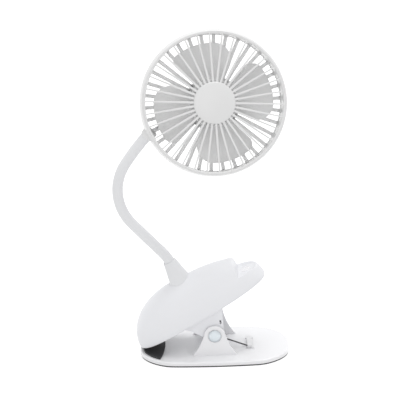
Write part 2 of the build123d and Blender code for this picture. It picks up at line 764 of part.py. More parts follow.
NECK = neck_path()
NECK_LENGTH = NECK.length
HINGE_SPACE = (NECK_LENGTH - LAST_HINGE_BACK - FIRST_HINGE) / (HINGES - 1)
HINGE_AT = [FIRST_HINGE + i * HINGE_SPACE for i in range(HINGES)]
HINGE_POINT = [NECK.position_at(d / NECK_LENGTH) for d in HINGE_AT]
HINGE_TANGENT = [NECK.tangent_at(d / NECK_LENGTH) for d in HINGE_AT]


def tube_along(start, end, radius):
    """A round bar along part of the neck's middle line."""
    path = NECK.trim(start / NECK_LENGTH, end / NECK_LENGTH)
    section = Plane(origin=path @ 0, z_dir=path % 0) * Circle(radius)
    return sweep(section, path=path)


def ball(index, radius):
    return Pos(*HINGE_POINT[index]) * Sphere(radius)


def ball_bore(index):
    """The cable's way out through a link's ball."""
    down = Plane(origin=HINGE_POINT[index], z_dir=HINGE_TANGENT[index])
    return down * disc(NECK_BORE_R, -NECK_R - 1, 0)


def neck_link(index):
    """One link of the neck: a ball at its lower end, a cup for the next ball at its upper end."""
    link = tube_along(HINGE_AT[index], HINGE_AT[index + 1], NECK_R) + ball(index, NECK_R)
    link = link - ball(index + 1, NECK_R + BALL_GAP) - ball_bore(index)
    return link - tube_along(HINGE_AT[index], HINGE_AT[index + 1], NECK_BORE_R)


def neck_cable():
    return tube_along(FIRST_HINGE, NECK_LENGTH - 1, CABLE_R)


# ================================================================ fan head
ENTRY = NECK @ 1
ENTRY_DIR = NECK % 1
YAW = math.radians(HEAD_YAW)
PITCH = math.radians(HEAD_TILT)
HEAD_NORMAL = Vector(
    math.sin(YAW) * math.cos(PITCH), -math.cos(YAW) * math.cos(PITCH), math.sin(PITCH)
)
HEAD_RIGHT = Vector(math.cos(YAW), math.sin(YAW), 0)
HEAD_UP = HEAD_NORMAL.cross(HEAD_RIGHT)
ENTRY_TURN = math.radians(ENTRY_ANGLE)
HEAD_CENTRE = ENTRY - (
    HEAD_RIGHT * math.cos(ENTRY_TURN) + HEAD_UP * math.sin(ENTRY_TURN)
) * RING_R
HEAD = Plane(origin=HEAD_CENTRE, x_dir=HEAD_RIGHT, z_dir=HEAD_NORMAL)
FACE = RING_DEPTH / 2
LEDGE = FACE - LEDGE_DEPTH
INNER_R = RING_R - RING_WALL
LEDGE_R = INNER_R - LEDGE_SHELF
GRILLE_R = INNER_R - GRILLE_PLAY
RIM_R = GRILLE_R - GRILLE_RIM
FRONT_FACE = LEDGE + GRILLE_RIM_THICK
PLATE_IN = FRONT_FACE - GRILLE_THICK


def ring_band():
    """The head's outer band: a soft barrel section turned round the fan's axis."""
    front_r = RING_R - RING_BULGE + 0.6
    round_r = 1.2
    edges = [
        Line((LEDGE_R, -LEDGE), (LEDGE_R, LEDGE)),
        Line((LEDGE_R, LEDGE), (INNER_R, LEDGE)),
        Line((INNER_R, LEDGE), (INNER_R, FACE - round_r / 2)),
        ThreePointArc((INNER_R, FACE - round_r / 2), (INNER_R + 0.5, FACE), (front_r, FACE - round_r)),
        ThreePointArc((front_r, FACE - round_r), (RING_R, 0), (front_r, round_r - FACE)),
        ThreePointArc((front_r, round_r - FACE), (INNER_R + 0.5, -FACE), (INNER_R, round_r / 2 - FACE)),
        Line((INNER_R, round_r / 2 - FACE), (INNER_R, -LEDGE)),
        Line((INNER_R, -LEDGE), (LEDGE_R, -LEDGE)),
    ]
    section = Plane.XZ * make_face(edges)
    return revolve(section, Axis.Z, 360)


def head_ring():
    """The band, with the sleeve that the neck's end is fixed in."""
    sleeve = Plane(origin=ENTRY, z_dir=ENTRY_DIR)
    outside = sleeve * disc(BOSS_SLEEVE_R, -BOSS_OUT, BOSS_IN)
    outside = outside & HEAD * disc(RING_R + BOSS_OUT * 2, -LEDGE, LEDGE)
    outside = outside - HEAD * disc(BLADE_TIP_R + BLADE_ROOM, -FACE, FACE)
    bore = sleeve * disc(NECK_R + COLLAR_PLAY, -BOSS_OUT - 2, BOSS_IN - BOSS_END)
    wire_way = sleeve * disc(NECK_BORE_R, -BOSS_OUT, BOSS_IN + 5)
    return (HEAD * ring_band()) + outside - bore - wire_way - lead_tube(LEAD_R + LEAD_ROOM)


def neck_collar():
    """The neck's upper end piece: a ball below, a plain tube in the ring's sleeve above."""
    sleeve = Plane(origin=ENTRY, z_dir=ENTRY_DIR)
    tube = tube_along(HINGE_AT[-1], NECK_LENGTH, NECK_R)
    plug = sleeve * disc(NECK_R, 0, BOSS_IN - BOSS_END)
    piece = tube + plug + ball(HINGES - 1, NECK_R) - ball_bore(HINGES - 1)
    piece = piece - tube_along(HINGE_AT[-1], NECK_LENGTH, NECK_BORE_R)
    return piece - sleeve * disc(NECK_BORE_R, 0, BOSS_IN)


def rib(width, angle, inner, outer, low, high):
    bar = box_between((inner, -width / 2, low), (outer, width / 2, high))
    return Rot(0, 0, angle) * bar


def front_rib(angle):
    """A straight rib that narrows from the middle disc out to the rim."""
    inner = CAP_R - 3
    outer = RIM_R + GRILLE_RIM / 2
    root = FRONT_RIB_ROOT / 2
    end = FRONT_RIB_END / 2
    outline = make_face(Polyline((inner, -root), (outer, -end), (outer, end), (inner, root), close=True))
    return Rot(0, 0, angle) * slab(outline, PLATE_IN, FRONT_FACE)


def front_grille():
    """Thin straight ribs from the rim to a middle disc, all one moulding."""
    rim = disc(GRILLE_R, LEDGE, FRONT_FACE) - disc(RIM_R, LEDGE - 1, FRONT_FACE + 1)
    rim = fillet(rim.faces().sort_by(Axis.Z)[-1].edges(), GRILLE_RIM * 0.4)
    middle = disc(CAP_R - 0.8, PLATE_IN, FRONT_FACE)
    pitch = 360 / RIBS
    for i in range(RIBS):
        middle = middle + front_rib(RIB_START_ANGLE + i * pitch)
    return HEAD * (rim + middle)


def centre_cap():
    """The smooth domed cap over the grille's middle."""
    crown = CAP_RISE - CAP_EDGE
    crown_r = (CAP_R**2 + crown**2) / (2 * crown)
    cap = disc(CAP_R, FRONT_FACE, FRONT_FACE + CAP_RISE + 1)
    return HEAD * (cap & Pos(0, 0, FRONT_FACE + CAP_RISE - crown_r) * Sphere(crown_r))


MOTOR_SCREW_R = 13.5
MOTOR_SCREWS = 3


def screw_ring(radius, low, high):
    pieces = []
    for i in range(MOTOR_SCREWS):
        pieces.append(Rot(0, 0, 90 + 120 * i) * Pos(MOTOR_SCREW_R, 0, 0) * disc(radius, low, high))
    return pieces


def rear_grille():
    """Wider ribs set half a pitch round, with the plate that carries the motor."""
    rim = disc(GRILLE_R, -FRONT_FACE, -LEDGE) - disc(RIM_R, -FRONT_FACE - 1, 1 - LEDGE)
    rim = fillet(rim.faces().sort_by(Axis.Z)[0].edges(), GRILLE_RIM * 0.4)
    plate = disc(REAR_PLATE_R, -FRONT_FACE, -PLATE_IN)
    pitch = 360 / RIBS
    for i in range(RIBS):
        angle = RIB_START_ANGLE + (i + 0.5) * pitch
        plate = plate + rib(
            REAR_RIB, angle, REAR_PLATE_R - 2, RIM_R + GRILLE_RIM / 2, -FRONT_FACE, -PLATE_IN
        )
    for hole in screw_ring(SCREW_R + 0.2, -FRONT_FACE - 1, 0):
        plate = plate - hole
    return HEAD * (rim + plate)


def rear_cap():
    """The round cover behind the motor."""
    back = -FRONT_FACE
    cap = disc(REAR_CAP_R, back - REAR_CAP_THICK, back)
    cap = fillet(cap.faces().sort_by(Axis.Z)[0].edges(), REAR_CAP_THICK * 0.7)
    room = disc(REAR_CAP_R - 4.5, back - REAR_CAP_THICK + 1.5, back)
    return HEAD * (cap - room)


def motor_base():
    """The alloy flange on the rear plate, with the tube that holds the bearings."""
    low = -PLATE_IN
    flange = disc(FLANGE_R, low, low + FLANGE_THICK)
    tube = disc(TUBE_R, low, STATOR_TOP + 1)
    base = flange + tube - disc(BEARING_R, low + FLANGE_THICK, STATOR_TOP + 2)
    for hole in screw_ring(SCREW_R, low - 1, low + FLANGE_THICK + 1):
        base = base - hole
    return HEAD * base


def motor_screws():
    heads = screw_ring(SCREW_HEAD_R, -FRONT_FACE - 1.4, -FRONT_FACE)
    shanks = screw_ring(SCREW_R, -FRONT_FACE, -PLATE_IN + FLANGE_THICK)
    return Compound([HEAD * (h + s) for h, s in zip(heads, shanks)])


def motor_board():
    low = -PLATE_IN + FLANGE_THICK
    board = disc(FLANGE_R, low, low + MOTOR_BOARD_THICK) - disc(TUBE_R + 0.1, low - 1, low + 3)
    return HEAD * board


def stator_core():
    """The laminated stator: a ring on the bearing tube, with one tooth for each coil."""
    core = disc(TUBE_R + 2.2, STATOR_BOTTOM, STATOR_TOP) - disc(TUBE_R, STATOR_BOTTOM - 1, STATOR_TOP + 1)
    rim = disc(STATOR_R, STATOR_BOTTOM, STATOR_TOP) - disc(
        STATOR_R - 1.4, STATOR_BOTTOM - 1, STATOR_TOP + 1
    )
    for i in range(TEETH):
        angle = 360 * i / TEETH
        core = core + rib(2.4, angle, TUBE_R + 1, STATOR_R - 0.8, STATOR_BOTTOM, STATOR_TOP)
        rim = rim - rib(1.6, angle + 180 / TEETH, STATOR_R - 3, STATOR_R + 1, STATOR_BOTTOM - 1, STATOR_TOP + 1)
    return HEAD * (core + rim)


def stator_windings():
    """One copper coil round each tooth."""
    coils = []
    for i in range(TEETH):
        coil_block = box_between((TUBE_R + 3.6, -2.0, STATOR_BOTTOM - 1), (STATOR_R - 1.8, 2.0, STATOR_TOP + 1))
        tooth = box_between((0, -1.2, STATOR_BOTTOM), (STATOR_R, 1.2, STATOR_TOP))
        coils.append(HEAD * (Rot(0, 0, 360 * i / TEETH) * (coil_block - tooth)))
    return Compound(coils)


def bearing(low):
    return disc(BEARING_R, low, low + BEARING_HIGH) - disc(SHAFT_R + 0.03, low - 1, low + BEARING_HIGH + 1)


def bearings():
    lower = -PLATE_IN + FLANGE_THICK + 1.2
    upper = STATOR_TOP + 1 - BEARING_HIGH
    return Compound([HEAD * bearing(lower), HEAD * bearing(upper)])


def rotor_shaft():
    """The steel shaft: its foot runs in the bearings, its head is pressed in the can."""
    low = -PLATE_IN + FLANGE_THICK + 0.3
    return HEAD * disc(SHAFT_R, low, HUB_FRONT - HUB_WALL)


def rotor_can():
    """The steel cup that carries the magnet round the stator."""
    top = HUB_FRONT - HUB_WALL
    can = disc(CAN_R, STATOR_BOTTOM, top) - disc(CAN_R - CAN_WALL, STATOR_BOTTOM - 1, top - CAN_WALL)
    neck = disc(SHAFT_R + 1.5, top - 3, top)
    return HEAD * (can + neck - disc(SHAFT_R, top - 5, top + 1))


def magnet_ring():
    outer = CAN_R - CAN_WALL
    ring = disc(outer, STATOR_BOTTOM, STATOR_TOP + 1)
    return HEAD * (ring - disc(outer - MAGNET_THICK, STATOR_BOTTOM - 1, STATOR_TOP + 2))


def blade_slab():
    """A twisted sheet: it climbs steadily as it goes round the hub."""
    stations = 5
    extra = 4.0
    sections = []
    for i in range(stations):
        share = i / (stations - 1)
        angle = BLADE_START - extra + (BLADE_SPREAD + 2 * extra) * share
        height = BLADE_DEPTH / 2 - BLADE_DEPTH * share
        turn = math.radians(angle)
        out = Vector(math.cos(turn), math.sin(turn), 0)
        side = Vector(-math.sin(turn), math.cos(turn), 0)
        middle = out * ((HUB_R + BLADE_TIP_R) / 2) + Vector(0, 0, height)
        place = Plane(origin=middle, x_dir=out, z_dir=side)
        sections.append(place * Rectangle(BLADE_TIP_R - HUB_R + 8, BLADE_THICK))
    return loft(sections)


def blade_outline():
    """One blade seen from the front: a sector with two round outer corners."""
    a0 = math.radians(BLADE_START)
    a1 = math.radians(BLADE_START + BLADE_SPREAD)
    am = (a0 + a1) / 2
    inner = HUB_R - 1.0

    def at(radius, angle):
        return (radius * math.cos(angle), radius * math.sin(angle))

    edges = [
        Line(at(inner, a0), at(BLADE_TIP_R, a0)),
        ThreePointArc(at(BLADE_TIP_R, a0), at(BLADE_TIP_R, am), at(BLADE_TIP_R, a1)),
        Line(at(BLADE_TIP_R, a1), at(inner, a1)),
        ThreePointArc(at(inner, a1), at(inner, am), at(inner, a0)),
    ]
    face = make_face(edges)
    outer = sorted(face.vertices(), key=lambda v: -math.hypot(v.X, v.Y))[:2]
    lead, trail = sorted(outer, key=lambda v: -v.X)
    face = fillet(lead, BLADE_LEAD_CORNER)
    trail = min(face.vertices(), key=lambda v: (v.center() - trail.center()).length)
    return fillet(trail, BLADE_TRAIL_CORNER)


def fan_rotor():
    """The hub cup and its four broad blades, one moulding."""
    hub = disc(HUB_R, HUB_REAR, HUB_FRONT)
    hub = fillet(hub.faces().sort_by(Axis.Z)[-1].edges(), 2.0)
    hub = hub - disc(CAN_R, HUB_REAR - 1, HUB_FRONT - HUB_WALL)
    blade = blade_slab() & slab(blade_outline(), -BLADE_DEPTH, BLADE_DEPTH)
    for i in range(BLADES):
        hub = hub + Rot(0, 0, 360 * i / BLADES) * blade
    return HEAD * hub


def lead_tube(radius):
    """The lead's route from the ring's sleeve, down to a rear rib and along it to the motor."""
    sleeve = Plane(origin=ENTRY, z_dir=ENTRY_DIR)
    mouth = HEAD.to_local_coords(sleeve.from_local_coords(Vector(0, 0, BOSS_IN - 3)))
    run = -PLATE_IN + LEAD_R + 0.2
    turn = math.atan2(mouth.Y, mouth.X)
    out = Vector(math.cos(turn), math.sin(turn), 0)
    past_tips = BLADE_TIP_R + LEAD_R + 0.9
    inside = out * past_tips + Vector(0, 0, mouth.Z)
    down = out * past_tips + Vector(0, 0, run)
    end = out * (FLANGE_R + 0.1) + Vector(0, 0, run)
    path = FilletPolyline(mouth, inside, down, end, radius=2.2)
    section = Plane(origin=path @ 0, z_dir=path % 0) * Circle(radius)
    return HEAD * sweep(section, path=path)


def motor_lead():
    return lead_tube(LEAD_R)


# ================================================================ build
SPRING_WIRE, ARM_TOP = spring_path()

write("base_plate", base_plate())
write("rubber_sole", rubber_sole())
write("lower_jaw_pad", lower_jaw_pad())
write("spring_seat", spring_seat())
write("pivot_pin", pivot_pin())
write("pin_cap", pin_cap())
write("torsion_spring", torsion_spring(SPRING_WIRE))
print("least gap of the spring to itself:", round(spring_gap(SPRING_WIRE), 2), "mm")

write("upper_shell", upper_shell())
write("lower_cover", lower_cover(ARM_TOP))
write("cover_screws", cover_screws())
write("upper_jaw_pad", upper_jaw_pad())
write("battery_cells", battery_cells())
write("battery_cradle", battery_cradle())
write("control_board", control_board())
write("charge_port", charge_port())
write("tact_switch", tact_switch())
write("power_button", power_button())
write("neck_socket", neck_socket())
write("socket_nut", socket_nut())

for n in range(HINGES - 1):
    write(f"neck_link_{n + 1}", neck_link(n))
write("neck_cable", neck_cable())

write("neck_collar", neck_collar())
write("head_ring", head_ring())
write("front_grille", front_grille())
write("centre_cap", centre_cap())
write("rear_grille", rear_grille())
write("rear_cap", rear_cap())
write("motor_base", motor_base())
write("motor_screws", motor_screws())
write("motor_board", motor_board())
write("motor_lead", motor_lead())
write("stator_core", stator_core())
write("stator_windings", stator_windings())
write("bearings", bearings())
write("rotor_shaft", rotor_shaft())
write("rotor_can", rotor_can())
write("magnet_ring", magnet_ring())
write("fan_rotor", fan_rotor())
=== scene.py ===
import math

import bmesh
import bpy
from mathutils import Matrix, Vector


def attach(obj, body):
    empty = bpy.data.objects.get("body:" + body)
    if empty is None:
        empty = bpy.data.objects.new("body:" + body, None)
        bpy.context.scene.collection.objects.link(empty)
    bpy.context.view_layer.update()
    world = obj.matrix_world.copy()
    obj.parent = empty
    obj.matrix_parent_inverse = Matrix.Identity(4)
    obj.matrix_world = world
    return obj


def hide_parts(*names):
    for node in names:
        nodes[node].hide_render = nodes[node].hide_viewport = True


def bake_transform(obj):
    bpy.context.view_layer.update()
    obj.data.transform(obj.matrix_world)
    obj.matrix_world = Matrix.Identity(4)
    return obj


# Clip fan: a round fan head on a bending neck, which rises from a spring clip with a flat foot.
# Metres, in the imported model's frame: +Z up, origin under the foot, +X towards the clip's lever.
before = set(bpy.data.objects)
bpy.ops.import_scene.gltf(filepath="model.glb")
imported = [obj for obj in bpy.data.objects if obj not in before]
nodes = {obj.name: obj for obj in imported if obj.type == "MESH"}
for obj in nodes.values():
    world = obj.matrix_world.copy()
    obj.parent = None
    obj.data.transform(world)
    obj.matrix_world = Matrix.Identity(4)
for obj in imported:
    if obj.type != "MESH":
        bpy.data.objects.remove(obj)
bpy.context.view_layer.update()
mm = 0.001

# ---------------------------------------------------------------- camera
# A long lens a metre and a half away, looking a little down on the fan, and rolled by a hair.
EYE_PLACE = (-0.01129, -1.42249, 0.63872)
LOOK_DOWN = math.radians(18.5)
ROLL = math.radians(-1.5)
camera = bpy.data.cameras.new("camera")
camera.sensor_width = 36.0
camera.lens = 135.0
camera.clip_start = 0.05
camera.clip_end = 30.0
eye = bpy.data.objects.new("camera", camera)
tilted = Matrix.Rotation(math.pi / 2 - LOOK_DOWN, 4, "X")
rolled = Matrix.Rotation(ROLL, 4, "Z")
eye.matrix_world = Matrix.Translation(EYE_PLACE) @ tilted @ rolled
bpy.context.scene.collection.objects.link(eye)
bpy.context.scene.camera = eye
bpy.context.scene.view_settings.view_transform = "Standard"

# ---------------------------------------------------------------- studio
# A pale floor and wide soft lamps; what the camera and gloss see beyond it is plain white.
SKY_LEVEL = 0.80
FLOOR_HALF = 4.0
FLOOR_DROP = 0.2 * mm
FLOOR_TONE = 0.78
FLOOR_GLOW = 0.55


def seen_level(tree, low, high):
    """High where the camera, a gloss or a clear surface looks, and low where light falls."""
    ray = tree.nodes.new("ShaderNodeLightPath")
    seen = ray.outputs["Is Camera Ray"]
    for kind in ("Is Glossy Ray", "Is Transmission Ray"):
        either = tree.nodes.new("ShaderNodeMath")
        either.operation = "MAXIMUM"
        tree.links.new(seen, either.inputs[0])
        tree.links.new(ray.outputs[kind], either.inputs[1])
        seen = either.outputs[0]
    level = tree.nodes.new("ShaderNodeMapRange")
    level.inputs["To Min"].default_value = low
    level.inputs["To Max"].default_value = high
    tree.links.new(seen, level.inputs["Value"])
    return level.outputs[0]


world = bpy.data.worlds.new("studio")
bpy.context.scene.world = world
world.use_nodes = True
sky = world.node_tree.nodes["Background"]
sky.inputs["Color"].default_value = (1, 1, 1, 1)
world.node_tree.links.new(seen_level(world.node_tree, SKY_LEVEL, 1.0), sky.inputs["Strength"])

bm = bmesh.new()
bmesh.ops.create_grid(bm, x_segments=1, y_segments=1, size=FLOOR_HALF)
bmesh.ops.translate(bm, verts=bm.verts, vec=(0, 0, -FLOOR_DROP))
mesh = bpy.data.meshes.new("floor")
bm.to_mesh(mesh)
bm.free()
floor = bpy.data.objects.new("floor", mesh)
bpy.context.scene.collection.objects.link(floor)
paper = bpy.data.materials.new("floor_paper")
paper.use_nodes = True
sheet = paper.node_tree.nodes["Principled BSDF"]
sheet.inputs["Base Color"].default_value = (FLOOR_TONE, FLOOR_TONE, FLOOR_TONE, 1)
sheet.inputs["Roughness"].default_value = 0.9
sheet.inputs["Specular IOR Level"].default_value = 0.0
sheet.inputs["Emission Color"].default_value = (1, 1, 1, 1)
glow = seen_level(paper.node_tree, 0.0, FLOOR_GLOW)
paper.node_tree.links.new(glow, sheet.inputs["Emission Strength"])
mesh.materials.append(paper)


def soft_lamp(name, power, size, place, aim):
    """A square soft box at a place, turned towards the point that it lights."""
    light = bpy.data.lights.new(name, "AREA")
    light.energy = power
    light.size = size
    lamp = bpy.data.objects.new(name, light)
    facing = (Vector(aim) - Vector(place)).to_track_quat("-Z", "Y")
    lamp.matrix_world = Matrix.Translation(place) @ facing.to_matrix().to_4x4()
    bpy.context.scene.collection.objects.link(lamp)


soft_lamp("front_lamp", power=5.0, size=1.6, place=(-0.4, -2.6, 1.0), aim=(0, 0, 0.2))
soft_lamp("top_lamp", power=42.0, size=2.2, place=(0.3, 0.5, 3.0), aim=(0, 0, 0.1))

# ---------------------------------------------------------------- foot plate
# The flat oval foot and its two ears, one glossy white moulding. The ears have hollow flanks and
# carry the pivot pin in a shallow ring groove. Two slots in the plate hold the spring's bridge.
PLATE_LENGTH = 153.0 * mm
PLATE_WIDTH = 90.6 * mm
END_SAG = 4.2 * mm
SIDE_SAG = 4.7 * mm
CORNER = 30.0 * mm
SOLE_TOP = 1.5 * mm
PLATE_TOP = 5.5 * mm
PIVOT_Z = 26.6 * mm
EAR_OUTER = 28.0 * mm
EAR_THICK = 3.0 * mm
EAR_TOP_R = 10.6 * mm
EAR_FOOT_HALF = 22.7 * mm
EAR_TURN = math.radians(14.0)
EAR_SUNK = 1.0 * mm  # how deep the ears reach into the plate
PIN_HEAD_R = 6.3 * mm
GROOVE = 0.8 * mm
GROOVE_PLAY = 0.05 * mm  # from the pin's head to its groove
SEAT_X = 35.8 * mm
SEAT_LENGTH = 8.5 * mm
SEAT_HALF_Y = 11.5 * mm
SEAT_SLOT = 2.0 * mm
SLOT_CUT = 6.0 * mm  # the cutter's height
SLOT_CUT_RISE = 1.0 * mm  # from the plate's top to the cutter's middle
HAIR = 0.1 * mm  # to tell one height from another


def add_nodes(tree, kind, **values):
    """A node of a kind, with some of its inputs set by name."""
    node = tree.nodes.new(kind)
    for name, value in values.items():
        node.inputs[name.replace("_", " ")].default_value = value
    return node


def finish_of(name, colour, rough, grain, depth, mottle=0.03, metal=0.0, coat=0.0, spread=0.05):
    """A surface: its colour drifts a little, and the mould's or tool's grain shows in the gloss."""
    made = bpy.data.materials.new(name)
    made.use_nodes = True
    tree = made.node_tree
    shader = tree.nodes["Principled BSDF"]
    shader.inputs["Metallic"].default_value = metal
    shader.inputs["Coat Weight"].default_value = coat
    place = tree.nodes.new("ShaderNodeTexCoord")
    drift = add_nodes(tree, "ShaderNodeTexNoise", Scale=22.0, Detail=3.0)
    tint = add_nodes(tree, "ShaderNodeMix")
    tint.data_type = "RGBA"
    tint.inputs["A"].default_value = tuple(c * (1 - mottle) for c in colour) + (1,)
    tint.inputs["B"].default_value = tuple(min(c * (1 + mottle * 0.6), 1) for c in colour) + (1,)
    fine = add_nodes(tree, "ShaderNodeTexNoise", Scale=1.0 / grain, Detail=2.0)
    gloss = add_nodes(tree, "ShaderNodeMapRange")
    gloss.inputs["To Min"].default_value = rough - spread / 2
    gloss.inputs["To Max"].default_value = rough + spread / 2
    bump = add_nodes(tree, "ShaderNodeBump", Strength=0.35, Distance=depth)
    tree.links.new(place.outputs["Object"], drift.inputs["Vector"])
    tree.links.new(place.outputs["Object"], fine.inputs["Vector"])
    tree.links.new(drift.outputs["Fac"], tint.inputs["Factor"])
    tree.links.new(tint.outputs["Result"], shader.inputs["Base Color"])
    tree.links.new(fine.outputs["Fac"], gloss.inputs["Value"])
    tree.links.new(gloss.outputs["Result"], shader.inputs["Roughness"])
    tree.links.new(fine.outputs["Fac"], bump.inputs["Height"])
    tree.links.new(bump.outputs["Normal"], shader.inputs["Normal"])
    return made


def foot_outline(bm, inset, height):
    """The foot's oval as one face: a rectangle with round corners, its sides then bowed out."""
    half_x = PLATE_LENGTH / 2 - END_SAG - inset
    half_y = PLATE_WIDTH / 2 - SIDE_SAG - inset
    bmesh.ops.create_grid(bm, x_segments=1, y_segments=1, size=1.0)
    bmesh.ops.scale(bm, verts=bm.verts, vec=(half_x, half_y, 1))
    bmesh.ops.translate(bm, verts=bm.verts, vec=(0, 0, height))
    bmesh.ops.bevel(
        bm, geom=bm.verts[:], offset=CORNER - inset, affect="VERTICES",
        segments=20, profile=0.5, material=-1,
    )
    long_edges = [e for e in bm.edges if e.calc_length() > 8 * mm]
    bmesh.ops.subdivide_edges(bm, edges=long_edges, cuts=15)
    for v in bm.verts:
        x = v.co.x / half_x
        y = v.co.y / half_y
        v.co.x += END_SAG * (1 - y * y) * x
        v.co.y += SIDE_SAG * (1 - x * x) * y


def thicken(bm, faces, vec):
    """Turns flat faces into a slab."""
    made = bmesh.ops.extrude_face_region(bm, geom=faces, use_keep_orig=True)
    verts = [g for g in made["geom"] if isinstance(g, bmesh.types.BMVert)]
    bmesh.ops.translate(bm, verts=verts, vec=vec)
    bmesh.ops.recalc_face_normals(bm, faces=bm.faces)


def rounded(bm, edges, offset, segments):
    """Rounds some edges, no farther than their neighbours leave room for."""
    bmesh.ops.bevel(
        bm, geom=edges, offset=offset, affect="EDGES", segments=segments,
        profile=0.5, material=-1, clamp_overlap=True,
    )


def soften(bm, offset, segments=3, over=50, where=None):
    """Rounds the edges that turn by more than an angle."""
    edges = []
    for edge in bm.edges:
        turn = edge.calc_face_angle(0)
        if turn > math.radians(over) and (where is None or where(edge)):
            edges.append(edge)
    rounded(bm, edges, offset, segments)


def lowest(edge):
    return min(v.co.z for v in edge.verts)


def highest(edge):
    return max(v.co.z for v in edge.verts)


def finished(name, bm, material, body=None, instead_of=(), sharp=38):
    """Makes the piece's object: smooth where it curves, crisp at edges and on flats."""
    bmesh.ops.remove_doubles(bm, verts=bm.verts, dist=1e-6)
    bmesh.ops.recalc_face_normals(bm, faces=bm.faces)
    for face in bm.faces:
        face.smooth = len(face.verts) < 5
    for edge in bm.edges:
        edge.smooth = edge.calc_face_angle(0) < math.radians(sharp)
    mesh = bpy.data.meshes.new(name)
    bm.to_mesh(mesh)
    bm.free()
    mesh.materials.append(material)
    piece = bpy.data.objects.new(name, mesh)
    bpy.context.scene.collection.objects.link(piece)
    if body:
        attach(piece, body)
    if instead_of:
        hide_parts(*instead_of)
    return piece


def arc_on(bm, vert, middle, angle, steps, axis=(0, -1, 0)):
    """Draws an arc from a vertex, round the ears' axis or another, to its last vertex."""
    made = bmesh.ops.spin(bm, geom=[vert], cent=middle, axis=axis, angle=angle, steps=steps)
    return [g for g in made["geom_last"] if isinstance(g, bmesh.types.BMVert)][0]


def line_on(bm, vert, place):
    """Draws a straight edge from a vertex, and gives back its last vertex."""
    last = bm.verts.new(place)
    bm.edges.new((vert, last))
    return last


def ear_from(bm, start, last, side, outer, thick):
    """Closes a drawn outline and makes it an ear on the near side (-1) or the far side (1)."""
    bm.edges.new((last, start))
    face = bmesh.ops.contextual_create(bm, geom=bm.edges[:])["faces"]
    thicken(bm, face, (0, thick, 0))
    inner = outer - thick if side > 0 else -outer
    bmesh.ops.translate(bm, verts=bm.verts, vec=(0, inner, 0))


def turned(profile, closed=False, steps=96):
    """A shape spun about Z from a profile of radius and height, as on a lathe."""
    bm = bmesh.new()
    verts = [bm.verts.new((r, 0, h)) for r, h in profile]
    edges = [bm.edges.new(pair) for pair in zip(verts, verts[1:])]
    if closed:
        edges.append(bm.edges.new((verts[-1], verts[0])))
    bmesh.ops.spin(
        bm, geom=verts + edges, cent=(0, 0, 0), axis=(0, 0, 1), angle=2 * math.pi,
        steps=steps, use_merge=True,
    )
    bmesh.ops.remove_doubles(bm, verts=bm.verts, dist=1e-6)
    bmesh.ops.recalc_face_normals(bm, faces=bm.faces)
    return bm


def carved(bm, tool):
    """Cuts one closed shape out of another, and gives back what is left."""
    pair = []
    for name, shape in (("whole", bm), ("tool", tool)):
        mesh = bpy.data.meshes.new(name)
        shape.to_mesh(mesh)
        shape.free()
        pair.append(bpy.data.objects.new(name, mesh))
        bpy.context.scene.collection.objects.link(pair[-1])
    cut = pair[0].modifiers.new("cut", "BOOLEAN")
    cut.operation = "DIFFERENCE"
    cut.solver = "EXACT"
    cut.object = pair[1]
    left = bmesh.new()
    left.from_mesh(pair[0].evaluated_get(bpy.context.evaluated_depsgraph_get()).to_mesh())
    for used in pair:
        mesh = used.data
        bpy.data.objects.remove(used)
        bpy.data.meshes.remove(mesh)
    return left


def add_shape(bm, other):
    """Adds another shape to this one, and lets go of the other."""
    held = bpy.data.meshes.new("held")
    other.to_mesh(held)
    other.free()
    bm.from_mesh(held)
    bpy.data.meshes.remove(held)


def on_ear(side):
    """The pin's place on one of the foot's ears, with its top outwards."""
    outward = Matrix.Rotation(math.radians(-90 * side), 4, "X")
    return Matrix.Translation((0, side * EAR_OUTER, PIVOT_Z)) @ outward


gloss_white = finish_of("glossy_white", (0.86, 0.86, 0.875), 0.24, 0.5 * mm, 0.004 * mm, coat=0.2)
foot = bmesh.new()
foot_outline(foot, 0, SOLE_TOP)
thicken(foot, foot.faces[:], (0, 0, PLATE_TOP - SOLE_TOP))
soften(foot, 1.4 * mm, 5, where=lambda e: lowest(e) > PLATE_TOP - HAIR)
soften(foot, 0.4 * mm, 2, where=lambda e: highest(e) < SOLE_TOP + HAIR)
slots = bmesh.new()
for side in (-1, 1):
    made = bmesh.ops.create_cube(slots, size=1.0)["verts"]
    bmesh.ops.scale(slots, verts=made, vec=(SEAT_LENGTH, SEAT_SLOT, SLOT_CUT))
    middle_y = side * (SEAT_HALF_Y + SEAT_SLOT / 2)
    bmesh.ops.translate(slots, verts=made, vec=(SEAT_X, middle_y, PLATE_TOP + SLOT_CUT_RISE))
foot = carved(foot, slots)

